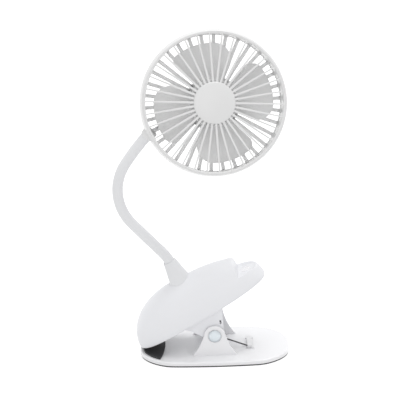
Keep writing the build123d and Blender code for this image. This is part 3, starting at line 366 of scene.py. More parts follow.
foot_end = Vector((EAR_FOOT_HALF, 0, PLATE_TOP))
flank = Vector((EAR_TOP_R * math.cos(EAR_TURN), 0, PIVOT_Z + EAR_TOP_R * math.sin(EAR_TURN)))
chord = flank - foot_end
hollow = math.atan2(-chord.x, chord.z) - EAR_TURN
hollow_r = chord.length / 2 / math.sin(hollow)
bow_x = flank.x + hollow_r * math.cos(EAR_TURN)
bow_z = flank.z + hollow_r * math.sin(EAR_TURN)
ear_root = PLATE_TOP - EAR_SUNK
for side in (-1, 1):
    ear = bmesh.new()
    start = ear.verts.new((EAR_FOOT_HALF, 0, ear_root))
    at = line_on(ear, start, foot_end)
    at = arc_on(ear, at, (bow_x, 0, bow_z), -2 * hollow, 16)
    at = arc_on(ear, at, (0, 0, PIVOT_Z), math.pi - 2 * EAR_TURN, 32)
    at = arc_on(ear, at, (-bow_x, 0, bow_z), -2 * hollow, 16)
    at = line_on(ear, at, (-EAR_FOOT_HALF, 0, ear_root))
    ear_from(ear, start, at, side, EAR_OUTER, EAR_THICK)
    soften(ear, 0.6 * mm, 3, where=lambda e: highest(e) > PLATE_TOP + 1 * mm)
    groove = turned([
        (PIN_HEAD_R + GROOVE_PLAY, -GROOVE), (PIN_HEAD_R + GROOVE, -GROOVE),
        (PIN_HEAD_R + GROOVE, GROOVE), (PIN_HEAD_R + GROOVE_PLAY, GROOVE),
    ], closed=True, steps=64)
    groove.transform(on_ear(side))
    add_shape(foot, carved(ear, groove))
finished("foot", foot, gloss_white, "base", ["base_plate"])

# ---------------------------------------------------------------- sole and jaw pad
# A thin dark rubber sole glued under the foot, and the black rubber pad that the jaw closes on.
# The pad follows the foot's rounded end, and its inner edge is a shallow arc.
SOLE_INSET = 0.7 * mm
PAD_INSET = 3.3 * mm
PAD_EDGE_X = -51.0 * mm
PAD_EDGE_R = 137.0 * mm
PAD_TOP = 7.3 * mm
PAD_CUTS = 14


def all_of(bm):
    return bm.verts[:] + bm.edges[:] + bm.faces[:]


black_rubber = finish_of("black_rubber", (0.026, 0.027, 0.030), 0.62, 0.35 * mm, 0.02 * mm, 0.12)
bm = bmesh.new()
foot_outline(bm, SOLE_INSET, 0)
thicken(bm, bm.faces[:], (0, 0, SOLE_TOP))
soften(bm, 0.3 * mm, 2)
finished("sole", bm, black_rubber, "base", ["rubber_sole"])

bm = bmesh.new()
foot_outline(bm, PAD_INSET, PLATE_TOP)
for number in range(-PAD_CUTS, PAD_CUTS + 1):
    turn = math.asin(PLATE_WIDTH / 2 / PAD_EDGE_R) * number / PAD_CUTS
    ahead = Vector((math.cos(turn), math.sin(turn), 0))
    edge_place = Vector((PAD_EDGE_X - PAD_EDGE_R, 0, 0)) + ahead * PAD_EDGE_R
    bmesh.ops.bisect_plane(
        bm, geom=all_of(bm), plane_co=edge_place, plane_no=ahead, clear_outer=True
    )
thicken(bm, bm.faces[:], (0, 0, PAD_TOP - PLATE_TOP))
soften(bm, 0.5 * mm, 3, where=lambda e: lowest(e) > PLATE_TOP + 1 * mm)
finished("jaw_pad", bm, black_rubber, "base", ["lower_jaw_pad"])

# ---------------------------------------------------------------- pivot pin
# One steel pin through all four ears, with a low turned head, and a cap of the same form pressed
# on its far end.
PIN_R = 3.0 * mm
PIN_HEAD_THICK = 2.0 * mm
bright_steel = finish_of(
    "bright_steel", (0.64, 0.69, 0.72), 0.38, 0.12 * mm, 0.003 * mm, 0.03, metal=0.55
)
for side, name, node, shank in (
    (-1, "pin_head", "pivot_pin", -2 * EAR_OUTER - PIN_HEAD_THICK / 2),
    (1, "pin_far_cap", "pin_cap", PIN_HEAD_THICK / 2),
):
    bm = turned([
        (0, PIN_HEAD_THICK), (4.7 * mm, PIN_HEAD_THICK), (5.2 * mm, 1.75 * mm),
        (PIN_HEAD_R, 0.9 * mm), (PIN_HEAD_R, 0), (PIN_R, 0), (PIN_R, shank), (0, shank),
    ], steps=64)
    soften(bm, 0.2 * mm, 2, over=30)
    bm.transform(on_ear(side))
    finished(name, bm, bright_steel, "base", [node])

# ---------------------------------------------------------------- torsion spring
# Dark spring wire: a hooked arm in the near ear's slot, a coil round the pin, a leg down to the
# foot, and its end bent to lie under the seat's bridge.
WIRE_R = 0.7 * mm
WIRE_SIDES = 14
COIL_R = 5.6 * mm
COIL_TURNS = 4
COIL_PITCH = 2.07 * mm
COIL_OUTER = -19.5 * mm
ARM_REACH = 15.2 * mm
ARM_ANGLE = math.radians(66.0)
HOOK_LENGTH = 4.0 * mm
BEND_R = 2.0 * mm
BAR_X = 34.38 * mm
BAR_Z = 6.3 * mm
BAR_LENGTH = 15.0 * mm


def tangent_turn(x, z, side):
    """Where on the coil a straight arm to a point leaves it."""
    facing = math.atan2(z - PIVOT_Z, x)
    return facing + side * math.acos(COIL_R / math.hypot(x, z - PIVOT_Z))


def run_on(bm, ring, middle=(0, 0, 0), axis=(0, 0, 1), angle=0.0, shift=(0, 0, 0), steps=1):
    """Carries a ring of wire on: round an arc, straight on, or both at once."""
    made = bmesh.ops.spin(
        bm, geom=ring, cent=middle, axis=axis, angle=angle, dvec=Vector(shift) / steps, steps=steps
    )
    return made["geom_last"]


def ring_at(bm, place, ahead, radius, sides):
    """A circle of edges square to a direction."""
    made = bmesh.ops.create_circle(bm, segments=sides, radius=radius)
    turn = Vector(ahead).to_track_quat("Z", "Y").to_matrix().to_4x4()
    bmesh.ops.transform(bm, matrix=Matrix.Translation(place) @ turn, verts=made["verts"])
    edges = {e for v in made["verts"] for e in v.link_edges}
    return made["verts"] + list(edges)


def corner_on(bm, ring, place, ahead, after, radius, steps=8):
    """Bends the wire from one direction to another round a small arc that ends on the new line."""
    turn = ahead.angle(after)
    side = (after - ahead * ahead.dot(after)).normalized()
    middle = place + side * radius
    return run_on(bm, ring, middle, ahead.cross(after).normalized(), turn, steps=steps)


def close_end(bm, ring):
    """Closes the end of a wire or a tube with a face."""
    edges = [g for g in ring if isinstance(g, bmesh.types.BMEdge)]
    bmesh.ops.contextual_create(bm, geom=edges)


spring_wire = finish_of(
    "spring_wire", (0.075, 0.075, 0.08), 0.34, 0.2 * mm, 0.01 * mm, 0.15, metal=0.7
)
arm_x = ARM_REACH * math.cos(ARM_ANGLE)
arm_z = PIVOT_Z + ARM_REACH * math.sin(ARM_ANGLE)
coil_start = tangent_turn(arm_x, arm_z, 1)
coil_end = tangent_turn(BAR_X, BAR_Z, -1) + 2 * math.pi * (COIL_TURNS + 1)
coil_length = (coil_end - coil_start) / (2 * math.pi) * COIL_PITCH
slope = coil_length / (coil_end - coil_start)


def coil_place(turn, y):
    return Vector((COIL_R * math.cos(turn), y, PIVOT_Z + COIL_R * math.sin(turn)))


def coil_ahead(turn):
    return Vector((-COIL_R * math.sin(turn), slope, COIL_R * math.cos(turn))).normalized()


bm = bmesh.new()
start = coil_place(coil_start, COIL_OUTER)
ahead = coil_ahead(coil_start)
first = ring_at(bm, start, ahead, WIRE_R, WIRE_SIDES)
ring = run_on(
    bm, first, (0, 0, PIVOT_Z), (0, -1, 0), coil_end - coil_start, (0, coil_length, 0),
    steps=24 * (COIL_TURNS + 1),
)
leg_ahead = coil_ahead(coil_end)
leg_start = coil_place(coil_end, COIL_OUTER + coil_length)
leg_run = math.sqrt(BAR_X**2 + (BAR_Z - PIVOT_Z) ** 2 - COIL_R**2)
leg_run = leg_run / math.hypot(leg_ahead.x, leg_ahead.z) - BEND_R
ring = run_on(bm, ring, shift=leg_ahead * leg_run, steps=8)
across = Vector((0, 1, 0))
ring = corner_on(bm, ring, leg_start + leg_ahead * leg_run, leg_ahead, across, BEND_R)
ring = run_on(bm, ring, shift=across * (BAR_LENGTH - BEND_R), steps=4)
close_end(bm, ring)
arm_run = math.sqrt(ARM_REACH**2 - COIL_R**2) / math.hypot(ahead.x, ahead.z) - BEND_R
other = bmesh.ops.duplicate(bm, geom=first)["geom"]
ring = run_on(bm, other, shift=-ahead * arm_run, steps=5)
ring = corner_on(bm, ring, start - ahead * arm_run, -ahead, -across, BEND_R)
ring = run_on(bm, ring, shift=-across * (HOOK_LENGTH - BEND_R), steps=2)
close_end(bm, ring)
spring = finished("spring", bm, spring_wire, instead_of=["torsion_spring"], sharp=60)
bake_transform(spring)

# ---------------------------------------------------------------- clip body
# The upper jaw: a smooth satin white shell shaped like a computer mouse. Behind a step its tail
# is the lever, with a rim round a shallow dish for the thumb. All places are along the body.
TILT = math.radians(30.0)
LIP = Vector((-76.0 * mm, 0, 7.8 * mm))
BODY = Matrix.Translation(LIP) @ Matrix.Rotation(-TILT, 4, "Y")
BODY_LENGTH = 149.4 * mm
BODY_HALF_WIDTH = 30.7 * mm
BODY_WIDEST = 63.4 * mm
PLAN_NOSE_POWER = 3.0
PLAN_TAIL_POWER = 2.4
BODY_HEIGHT = 39.4 * mm
BODY_HIGHEST = 56.3 * mm
DOME_NOSE_POWER = 1.9
DOME_TAIL_POWER = 2.5
SEAM = 2.0 * mm
STEP_TOP = 129.5 * mm
STEP_FOOT = 126.5 * mm
STEP_BACK = 0.02 * mm  # the riser's row lies this far before its foot
STEP_ROUND = 0.6  # how much of the step's lean the row before it has
RIM_RISE = 14.5 * mm
RIM_SLOPE = 1.0 * mm
RIM_DROP = 3.4 * mm
RIM_MOST = 0.94  # of the dome's height, near the tip
DISH_DEPTH = 1.9 * mm
DISH_SHARE = 0.84  # of the lever's length
DISH_WALL = 3.2  # how soon the dish is at its full depth
RINGS = 84
SIDES = 48
SIDE_ROWS = 9
CREASE_OVER = math.radians(34.0)
SOFT_CREASE = 0.5


def swell(s, widest, nose_power, tail_power):
    """How full the body is along its length: 0 at the lip and the tip, 1 at its widest."""
    if s < widest:
        u = (widest - s) / widest
        power = nose_power
    else:
        u = (s - widest) / (BODY_LENGTH - widest)
        power = tail_power
    return max(1 - min(u, 1.0) ** power, 0.0) ** (1 / power)


def half_width(s):
    return BODY_HALF_WIDTH * swell(s, BODY_WIDEST, PLAN_NOSE_POWER, PLAN_TAIL_POWER)


def dome_height(s):
    return BODY_HEIGHT * swell(s, BODY_HIGHEST, DOME_NOSE_POWER, DOME_TAIL_POWER)


def rim_height(s):
    """The lever's rim falls away slowly, then faster towards the tip."""
    past = max(s - STEP_FOOT, 0.0) / (BODY_LENGTH - STEP_FOOT)
    return RIM_RISE - RIM_SLOPE * past - RIM_DROP * past**4


def along_body(turn):
    """How far along the body a turn of the sphere falls, from its pole at the lip."""
    return BODY_LENGTH * (1 - math.cos(turn)) / 2


satin_white = finish_of("satin_white", (0.825, 0.83, 0.855), 0.42, 0.3 * mm, 0.006 * mm, 0.02)
bm = bmesh.new()
bmesh.ops.create_uvsphere(bm, u_segments=2 * SIDES, v_segments=RINGS, radius=1.0)
bmesh.ops.rotate(bm, verts=bm.verts, matrix=Matrix.Rotation(math.radians(-90), 3, "Y"))
bmesh.ops.bisect_plane(
    bm, geom=all_of(bm), plane_co=(0, 0, 0), plane_no=(0, 0, -1), clear_outer=True, dist=1e-5
)
step_ring = max(n for n in range(RINGS + 1) if along_body(math.pi * n / RINGS) < STEP_FOOT)
for v in bm.verts:
    turn = math.acos(max(-1.0, min(1.0, -v.co.x)))
    ring_number = round(turn / math.pi * RINGS)
    s = along_body(turn)
    if ring_number in (0, RINGS):
        v.co = (s, 0, SEAM)
        continue
    if ring_number == step_ring:
        s = STEP_FOOT - STEP_BACK
    elif ring_number == step_ring + 1:
        s = STEP_FOOT
    column = abs(round(math.atan2(v.co.z, v.co.y) / math.pi * SIDES))
    side = 1 if column <= SIDES / 2 else -1
    row = min(column, SIDES - column)
    share = (row - SIDE_ROWS) / (SIDES / 2 - SIDE_ROWS)
    high = dome_height(s)
    wide = half_width(s)
    rim = rim_height(s)
    rim_turn = math.asin(min(rim / high, RIM_MOST))
    if row <= SIDE_ROWS:
        climb = rim_turn * row / SIDE_ROWS
    else:
        climb = rim_turn + (math.pi / 2 - rim_turn) * share
    y = wide * math.cos(climb)
    z = high * math.sin(climb)
    if ring_number > step_ring and row > SIDE_ROWS:
        y = wide * math.cos(rim_turn) * (1 - share)
        z = high * math.sin(rim_turn)
        past = (s - STEP_FOOT) / (BODY_LENGTH - STEP_FOOT)
        length_fill = max(1 - (2 * past / DISH_SHARE - 1) ** 4, 0.0)
        z -= DISH_DEPTH * length_fill * min(share * DISH_WALL, 1.0) ** 2
    elif ring_number == step_ring and z > rim:
        s += (STEP_TOP - STEP_FOOT) * (z - rim) / (BODY_HEIGHT - RIM_RISE)
    elif ring_number == step_ring - 1 and z > rim:
        s += STEP_ROUND * (STEP_TOP - STEP_FOOT) * (z - rim) / (BODY_HEIGHT - RIM_RISE)
    v.co = (s, side * y, SEAM + z)
bmesh.ops.contextual_create(bm, geom=[e for e in bm.edges if e.is_boundary])
crease = bm.edges.layers.float.new("crease_edge")
for edge in bm.edges:
    if edge.calc_face_angle(0) > CREASE_OVER:
        edge[crease] = SOFT_CREASE
    if all(abs(v.co.z - SEAM) < 1e-6 for v in edge.verts):
        edge[crease] = 1.0
bm.transform(BODY)
shell = finished("clip_shell", bm, satin_white, "clip", ["upper_shell"])
smooth = shell.modifiers.new("smooth", "SUBSURF")
smooth.levels = 1
smooth.render_levels = 1
for face in shell.data.polygons:
    face.use_smooth = True

# ---------------------------------------------------------------- clip floor
# The clip body's floor, set in from the shell by a thin shadow line, with the two ears that turn
# on the pin and run forward as a web. The near ear has a slot for the spring's hook.
COVER_THICK = 2.0 * mm
COVER_INSET = 0.5 * mm
BODY_EAR_OUTER = 24.6 * mm
BODY_EAR_THICK = 3.2 * mm
BODY_EAR_R = 9.6 * mm
EAR_TO_TAIL = 22.0 * mm
WEB_TO_LIP = 27.0 * mm
KNEE = Vector((-18.0 * mm, 0, PIVOT_Z + 0.9 * mm))
CREST = Vector((-26.5 * mm, 0, PIVOT_Z + 4.9 * mm))
HOOK_SLOT = Vector((2.0 * mm, 12.0 * mm, 5.0 * mm))
HOOK_SLOT_R = 0.95 * mm
ARCH_SHARE = 0.96  # of the web's arch, which a straight edge then ends


def body_outline(bm, inset, height):
    """The body seen square to its seam, as one face."""
    bmesh.ops.create_circle(bm, segments=168, radius=1.0, cap_ends=True)
    squeeze = (BODY_LENGTH - 2 * inset) / BODY_LENGTH
    for v in bm.verts:
        s = BODY_LENGTH * (1 - v.co.x) / 2
        y = half_width(s) - inset * swell(s, BODY_WIDEST, 4, 4)
        v.co = (inset + s * squeeze, math.copysign(max(y, 0.0), v.co.y), height)


def middle_of(a, b, c):
    """The middle of the circle through three points in the plane of X and Z."""
    lengths = [(p.x**2 + p.z**2) for p in (a, b, c)]
    twice = 2 * (a.x * (b.z - c.z) + b.x * (c.z - a.z) + c.x * (a.z - b.z))
    x = lengths[0] * (b.z - c.z) + lengths[1] * (c.z - a.z) + lengths[2] * (a.z - b.z)
    z = lengths[0] * (c.x - b.x) + lengths[1] * (a.x - c.x) + lengths[2] * (b.x - a.x)
    return Vector((x / twice, 0, z / twice))


cover = bmesh.new()
body_outline(cover, COVER_INSET, 0)
bmesh.ops.remove_doubles(cover, verts=cover.verts, dist=1e-5)
thicken(cover, cover.faces[:], (0, 0, COVER_THICK))
soften(cover, 0.7 * mm, 3, where=lambda e: highest(e) < HAIR)
cover.transform(BODY)
pivot_s = (Vector((0, 0, PIVOT_Z)) - LIP).dot(Vector((math.cos(TILT), 0, math.sin(TILT))))
ear_right = BODY @ Vector((pivot_s + EAR_TO_TAIL, 0, COVER_THICK / 2))
ear_left = BODY @ Vector((pivot_s - WEB_TO_LIP, 0, COVER_THICK / 2))
arch = middle_of(KNEE, CREST, ear_left)
arch_turn = (KNEE - arch).angle(ear_left - arch)
for side in (-1, 1):
    ear = bmesh.new()
    start = ear.verts.new(ear_left)
    at = line_on(ear, start, ear_right)
    at = line_on(ear, at, (BODY_EAR_R, 0, PIVOT_Z + 4 * mm))
    at = line_on(ear, at, (BODY_EAR_R, 0, PIVOT_Z))
    at = arc_on(ear, at, (0, 0, PIVOT_Z), math.radians(-160), 32)
    at = line_on(ear, at, KNEE)
    at = arc_on(ear, at, arch, arch_turn * ARCH_SHARE, 14)
    ear_from(ear, start, at, side, BODY_EAR_OUTER, BODY_EAR_THICK)
    soften(ear, 0.5 * mm, 2)
    if side < 0:
        slot = bmesh.new()
        bmesh.ops.create_cube(slot, size=1.0)
        bmesh.ops.scale(slot, verts=slot.verts, vec=HOOK_SLOT)
        upright = [e for e in slot.edges if abs(e.verts[0].co.y - e.verts[1].co.y) > mm]
        rounded(slot, upright, HOOK_SLOT_R, 6)
        bmesh.ops.translate(slot, verts=slot.verts, vec=(arm_x, -BODY_EAR_OUTER, arm_z))
        ear = carved(ear, slot)
    add_shape(cover, ear)
finished("clip_floor", cover, satin_white, "clip", ["lower_cover"])

# ---------------------------------------------------------------- power button
# The switch's small round button, a glossy white cap moulded in one with its stem. It stands in a
# hole in the dish, rests on the switch under it, and moves straight down.
BUTTON_S = 133.4 * mm
BUTTON_R = 5.5 * mm
BUTTON_TOP = 15.0 * mm
bm = turned([
    (0, 0), (3.6 * mm, -0.05 * mm), (4.9 * mm, -0.3 * mm), (BUTTON_R, -0.9 * mm),
    (BUTTON_R, -3 * mm), (1.5 * mm, -3 * mm), (1.5 * mm, -5 * mm), (0, -5 * mm),
], steps=64)
bm.transform(BODY @ Matrix.Translation((BUTTON_S, 0, BUTTON_TOP)))
finished("button", bm, gloss_white, "button", ["power_button"])

# ---------------------------------------------------------------- neck socket
# A tapered satin white collar that stands up out of the shell, held from inside by a nut. The
# neck's foot is pressed into its mouth.
SOCKET_LEAN = math.radians(26.2)
SOCKET = Matrix.Translation((-33.6 * mm, 0, 77.1 * mm)) @ Matrix.Rotation(-SOCKET_LEAN, 4, "Y")
SOCKET_HIGH = 23.8 * mm
SOCKET_SUNK = 6.0 * mm
FOOT_R = 12.6 * mm
MOUTH_R = 6.8 * mm
BORE_R = 5.55 * mm
BORE_DEEP = 2.0 * mm
sleeve_white = finish_of("sleeve_white", (0.78, 0.785, 0.80), 0.46, 0.4 * mm, 0.008 * mm, 0.02)
bm = turned([
    (0, -SOCKET_SUNK), (FOOT_R, -SOCKET_SUNK), (MOUTH_R + 0.1 * mm, SOCKET_HIGH - 0.8 * mm),
    (MOUTH_R - 0.35 * mm, SOCKET_HIGH), (BORE_R, SOCKET_HIGH),
    (BORE_R, SOCKET_HIGH - BORE_DEEP), (0, SOCKET_HIGH - BORE_DEEP),
], steps=72)
bm.transform(SOCKET)
finished("neck_foot", bm, sleeve_white, "clip", ["neck_socket"])

# ---------------------------------------------------------------- neck
# A bendable metal core in one smooth satin sleeve, with the motor's cable inside. The sleeve is
# made in lengths, one round each hinge, which meet in the middle of the links. The ends each
# length would bend between are worked out, upper end first for two, but nothing uses them.
NECK_R = 5.5 * mm
NECK_SIDES = 40
CABLE_R = 1.5 * mm
CABLE_SIDES = 10
HINGES = 8
FIRST_HINGE = 1.9 * mm
LAST_HINGE_BACK = 11.0 * mm
BEND_REACH = 8.0 * mm  # from a hinge to each end of its bend
TURNED_ROUND = (2, 6)  # the lengths that bend from their upper end
RING_SPACE = 1.6 * mm  # along the sleeve and the cable
NECK_RUNS = [(38.4 * mm, 16.7), (43.0 * mm, 0.0), (50.8 * mm, -76.4), (233.0 * mm, -9.15)]


def run_length(radius, turn):
    """The length of one of the neck's runs: an arc, or a straight where it doesn't turn."""
    return radius * math.radians(abs(turn)) if turn else radius


NECK_LENGTH = sum(run_length(radius, turn) for radius, turn in NECK_RUNS)
mouth = SOCKET @ Vector((0, 0, SOCKET_HIGH))


def neck_at(distance):
    """The neck's middle line: a place and a heading, at a distance from the socket."""
    x, z = mouth.x, mouth.z
    heading = math.pi / 2 + SOCKET_LEAN
    for radius, turn in NECK_RUNS:
        length = run_length(radius, turn)
        share = max(min(distance / length, 1.0), 0.0)
        if turn:
            side = math.copysign(1, turn)
            cx = x - side * radius * math.sin(heading)
            cz = z + side * radius * math.cos(heading)
            heading += math.radians(turn) * share
            x = cx + side * radius * math.sin(heading)
            z = cz - side * radius * math.cos(heading)
        else:
            x += length * share * math.cos(heading)
            z += length * share * math.sin(heading)
        distance -= length
        if distance <= 0:
            break
    return Vector((x, 0, z)), Vector((math.cos(heading), 0, math.sin(heading)))


def neck_length_of(start, end, radius, sides):
    """A closed length of tube along the neck, spun round its arcs and drawn along its straight."""
    bm = bmesh.new()
    place, heading = neck_at(start)
    ring = ring_at(bm, place, heading, radius, sides)
    close_end(bm, ring)
    before = 0.0
    for run_radius, turn in NECK_RUNS:
        length = run_length(run_radius, turn)
        low = max(start, before)
        high = min(end, before + length)
        if high > low:
            place, heading = neck_at(low)
            count = max(2, round((high - low) / RING_SPACE))
            if turn:
                side = math.copysign(1, turn)
                middle = place + Vector((-heading.z, 0, heading.x)) * side * run_radius
                angle = math.radians(turn) * (high - low) / length
                ring = run_on(bm, ring, middle, (0, -1, 0), angle, steps=count)
            else:
                ring = run_on(bm, ring, shift=heading * (high - low), steps=count)
        before += length
    close_end(bm, ring)
    return bm


cable_black = finish_of("cable_black", (0.02, 0.02, 0.022), 0.5, 0.3 * mm, 0.01 * mm, 0.1)
hinge_space = (NECK_LENGTH - LAST_HINGE_BACK - FIRST_HINGE) / (HINGES - 1)
for number in range(HINGES):
    last = number == HINGES - 1
    hinge = FIRST_HINGE + number * hinge_space
    start = max(hinge - hinge_space / 2, 0.0)
    end = NECK_LENGTH if last else hinge + hinge_space / 2
    below = "clip" if number == 0 else f"neck_{number}"
    above = "head" if last else f"neck_{number + 1}"
    node = "neck_collar" if last else f"neck_link_{number + 1}"
    place, heading = neck_at(hinge)
    turn_from = place - heading * min(BEND_REACH, hinge + 1 * mm)
    turn_to = place + heading * BEND_REACH
    ends = [(below, turn_from), (above, turn_to)]
    if number in TURNED_ROUND:
        ends.reverse()
    bm = neck_length_of(start, end, NECK_R, NECK_SIDES)
    length = finished(f"neck_sleeve_{number + 1}", bm, sleeve_white, instead_of=[node], sharp=60)
    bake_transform(length)
    bm = neck_length_of(start, end, CABLE_R, CABLE_SIDES)
    length = finished(
        f"neck_wire_{number + 1}", bm, cable_black, instead_of=["neck_cable"], sharp=60
    )
    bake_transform(length)

# ---------------------------------------------------------------- head band
# The head's outer band: a barrel-shaped glossy ring with a soft lip at each face, and a boss
# where the neck enters. The head's frame has Z along the fan's axis, towards the side it blows.
YAW = math.radians(4.0)
PITCH = math.radians(15.0)
RING_R = 73.2 * mm
INNER_R = 69.7 * mm
LEDGE_R = 68.3 * mm
FACE = 16.0 * mm
LEDGE = 10.0 * mm
ENTRY_TURN = math.radians(203.6)
BOSS_R = 6.9 * mm
BOSS_BORE_R = 5.6 * mm
entry, entry_ahead = neck_at(NECK_LENGTH)
out = Vector((math.sin(YAW) * math.cos(PITCH), -math.cos(YAW) * math.cos(PITCH), math.sin(PITCH)))
right = Vector((math.cos(YAW), math.sin(YAW), 0))
up = out.cross(right)
centre = entry - (right * math.cos(ENTRY_TURN) + up * math.sin(ENTRY_TURN)) * RING_R
HEAD = Matrix((right, up, out)).transposed().to_4x4()
HEAD.translation = centre
head_white = finish_of(
    "head_white", (0.765, 0.765, 0.765), 0.3, 0.5 * mm, 0.004 * mm, 0.02, coat=0.1
)
half_band = [
    (LEDGE_R, LEDGE), (INNER_R, LEDGE), (INNER_R, FACE - 0.15 * mm),
    (INNER_R + 0.5 * mm, FACE - 0.3 * mm), (INNER_R + 1.0 * mm, FACE - 0.7 * mm),
    (INNER_R + 1.5 * mm, FACE - 1.6 * mm), (RING_R - 1.5 * mm, 12.2 * mm),
    (RING_R - 0.8 * mm, 9.0 * mm), (RING_R - 0.3 * mm, 5.4 * mm), (RING_R - 0.05 * mm, 1.8 * mm),
]
band = turned(half_band + [(r, -h) for r, h in reversed(half_band)], closed=True, steps=160)
band.transform(HEAD)
boss = turned([
    (BOSS_BORE_R, -1.8 * mm), (5.9 * mm, -1.7 * mm), (6.3 * mm, -1.1 * mm), (6.7 * mm, 0),
    (BOSS_R, 1.2 * mm), (BOSS_R, 6.6 * mm), (6.5 * mm, 7.2 * mm), (BOSS_BORE_R, 7.2 * mm),
], closed=True, steps=48)
sleeve_turn = entry_ahead.to_track_quat("Z", "Y").to_matrix().to_4x4()
boss.transform(Matrix.Translation(entry) @ sleeve_turn)
add_shape(band, boss)
finished("head_band", band, head_white, "head", ["head_ring"])

# ---------------------------------------------------------------- grilles
# Two white mouldings. The front one has thin straight ribs round a plain domed cap; the rear one
# has wider ribs, half a pitch round, and a plate that carries the motor behind a round cover.
RIBS = 34
RIB_START = math.radians(-3.5)
RIB_SUNK = 0.9 * mm  # how deep the ribs reach into the rim
FRONT_RIB_ROOT = 2.3 * mm
FRONT_RIB_END = 1.5 * mm
REAR_RIB = 3.8 * mm
FRONT_FACE = 15.7 * mm
PLATE_IN = 13.1 * mm
GRILLE_R = 69.66 * mm
RIM_R = 67.7 * mm
CAP_R = 20.6 * mm
REAR_PLATE_R = 27.5 * mm


def copies_round(bm, count):
    """Copies a shape about Z, until there are so many of it all the way round."""
    bmesh.ops.spin(
        bm, geom=all_of(bm), cent=(0, 0, 0), axis=(0, 0, 1), use_duplicate=True,
        angle=2 * math.pi * (count - 1) / count, steps=count - 1,
    )


def add_ribs(bm, root, end, first_turn, inner, outer, low, high):
    """One softened bar, which may narrow outwards, then its copies all the way round."""
    bar = bmesh.new()
    bmesh.ops.create_cube(bar, size=1.0)
    bmesh.ops.scale(bar, verts=bar.verts, vec=(outer - inner, root, high - low))
    for v in bar.verts:
        if v.co.x > 0:
            v.co.y *= end / root
    long_edges = [e for e in bar.edges if abs(e.verts[0].co.x - e.verts[1].co.x) > mm]
    rounded(bar, long_edges, end * 0.2, 2)
    bmesh.ops.translate(bar, verts=bar.verts, vec=((outer + inner) / 2, 0, (low + high) / 2))
    bmesh.ops.rotate(bar, verts=bar.verts, matrix=Matrix.Rotation(first_turn, 3, "Z"))
    copies_round(bar, RIBS)
    add_shape(bm, bar)


bm = turned([
    (GRILLE_R, LEDGE), (GRILLE_R, FRONT_FACE + 0.12 * mm),
    (RIM_R + 1.2 * mm, FRONT_FACE + 0.1 * mm), (RIM_R + 0.6 * mm, FRONT_FACE - 0.1 * mm),
    (RIM_R + 0.2 * mm, FRONT_FACE - 0.5 * mm), (RIM_R, FRONT_FACE - 1.1 * mm), (RIM_R, LEDGE),
], closed=True, steps=160)
add_ribs(
    bm, FRONT_RIB_ROOT, FRONT_RIB_END, RIB_START, CAP_R - 3 * mm, RIM_R + RIB_SUNK,
    PLATE_IN, FRONT_FACE,
)
add_shape(bm, turned([
    (0, FRONT_FACE - 0.05 * mm), (CAP_R - 0.8 * mm, FRONT_FACE - 0.05 * mm),
    (CAP_R - 0.8 * mm, PLATE_IN), (0, PLATE_IN),
]))
bm.transform(HEAD)
finished("front_guard", bm, head_white, "head", ["front_grille"])

bm = turned([
    (0, 3.0 * mm), (5 * mm, 2.9 * mm), (10 * mm, 2.55 * mm), (14 * mm, 2.1 * mm),
    (17.5 * mm, 1.55 * mm), (19.4 * mm, 1.15 * mm), (20.2 * mm, 0.8 * mm),
    (CAP_R, 0.3 * mm), (CAP_R, 0), (0, 0),
], steps=128)
bm.transform(HEAD @ Matrix.Translation((0, 0, FRONT_FACE)))
finished("guard_cap", bm, head_white, "head", ["centre_cap"])

# The rear guard and the motor cover are coloured almost pure white, lighter than the front guard's
# white plastic. This is painted light, standing in for light from behind that reaches the rear
# ribs. The subsurface scatter below is the thin plastic's own translucency.
rear_white_painted_backlight = finish_of("rear_white_painted_backlight", (0.96, 0.96, 0.96), 0.34, 0.4 * mm, 0.005 * mm, 0.02)
milky = rear_white_painted_backlight.node_tree.nodes["Principled BSDF"]
milky.inputs["Subsurface Weight"].default_value = 0.6
milky.inputs["Subsurface Radius"].default_value = (1.0, 1.0, 1.0)
milky.inputs["Subsurface Scale"].default_value = 3.0 * mm
bm = turned([
    (GRILLE_R, -LEDGE), (GRILLE_R, 0.8 * mm - FRONT_FACE), (GRILLE_R - 0.8 * mm, -FRONT_FACE),
    (RIM_R + 0.8 * mm, -FRONT_FACE), (RIM_R, 0.8 * mm - FRONT_FACE), (RIM_R, -LEDGE),
], closed=True, steps=160)
add_ribs(
    bm, REAR_RIB, REAR_RIB, RIB_START + math.pi / RIBS, REAR_PLATE_R - 2 * mm, RIM_R + RIB_SUNK,
    -FRONT_FACE, -PLATE_IN,
)
add_shape(bm, turned([
    (0, -FRONT_FACE - 0.02 * mm), (REAR_PLATE_R - 0.5 * mm, -FRONT_FACE - 0.02 * mm),
    (REAR_PLATE_R, 0.5 * mm - FRONT_FACE), (REAR_PLATE_R, -PLATE_IN), (0, -PLATE_IN),
]))
bm.transform(HEAD)
finished("rear_guard", bm, rear_white_painted_backlight, "head", ["rear_grille"])

bm = turned([
    (0, -4.0 * mm), (18.0 * mm, -4.0 * mm), (20.6 * mm, -3.7 * mm), (22.4 * mm, -3.0 * mm),
    (23.5 * mm, -2.0 * mm), (24.0 * mm, -0.8 * mm), (24.0 * mm, 0), (0, 0),
], steps=128)
bm.transform(HEAD @ Matrix.Translation((0, 0, -FRONT_FACE)))
finished("motor_cover", bm, rear_white_painted_backlight, "head", ["rear_cap"])

# ---------------------------------------------------------------- blades
# One pale grey moulding: a hub cup over the motor, and four broad blades that climb as they go
# round, each with one large and one small round corner.
HUB_R = 23.7 * mm
HUB_BORE_R = 18.6 * mm
HUB_SUNK = 1.0 * mm
TIP_R = 59.4 * mm
BLADES = 4
BLADE_START = math.radians(64.0)
BLADE_SPREAD = math.radians(70.0)
BLADE_DEPTH = 13.0 * mm
BLADE_THICK = 1.6 * mm
BLADE_STRIPS = 20
LEAD_CORNER = 17.0 * mm
TRAIL_CORNER = 8.0 * mm
AXIS = (0, 0, 1)


def from_axis(reach, turn):
    return Vector((reach * math.cos(turn), reach * math.sin(turn), 0))


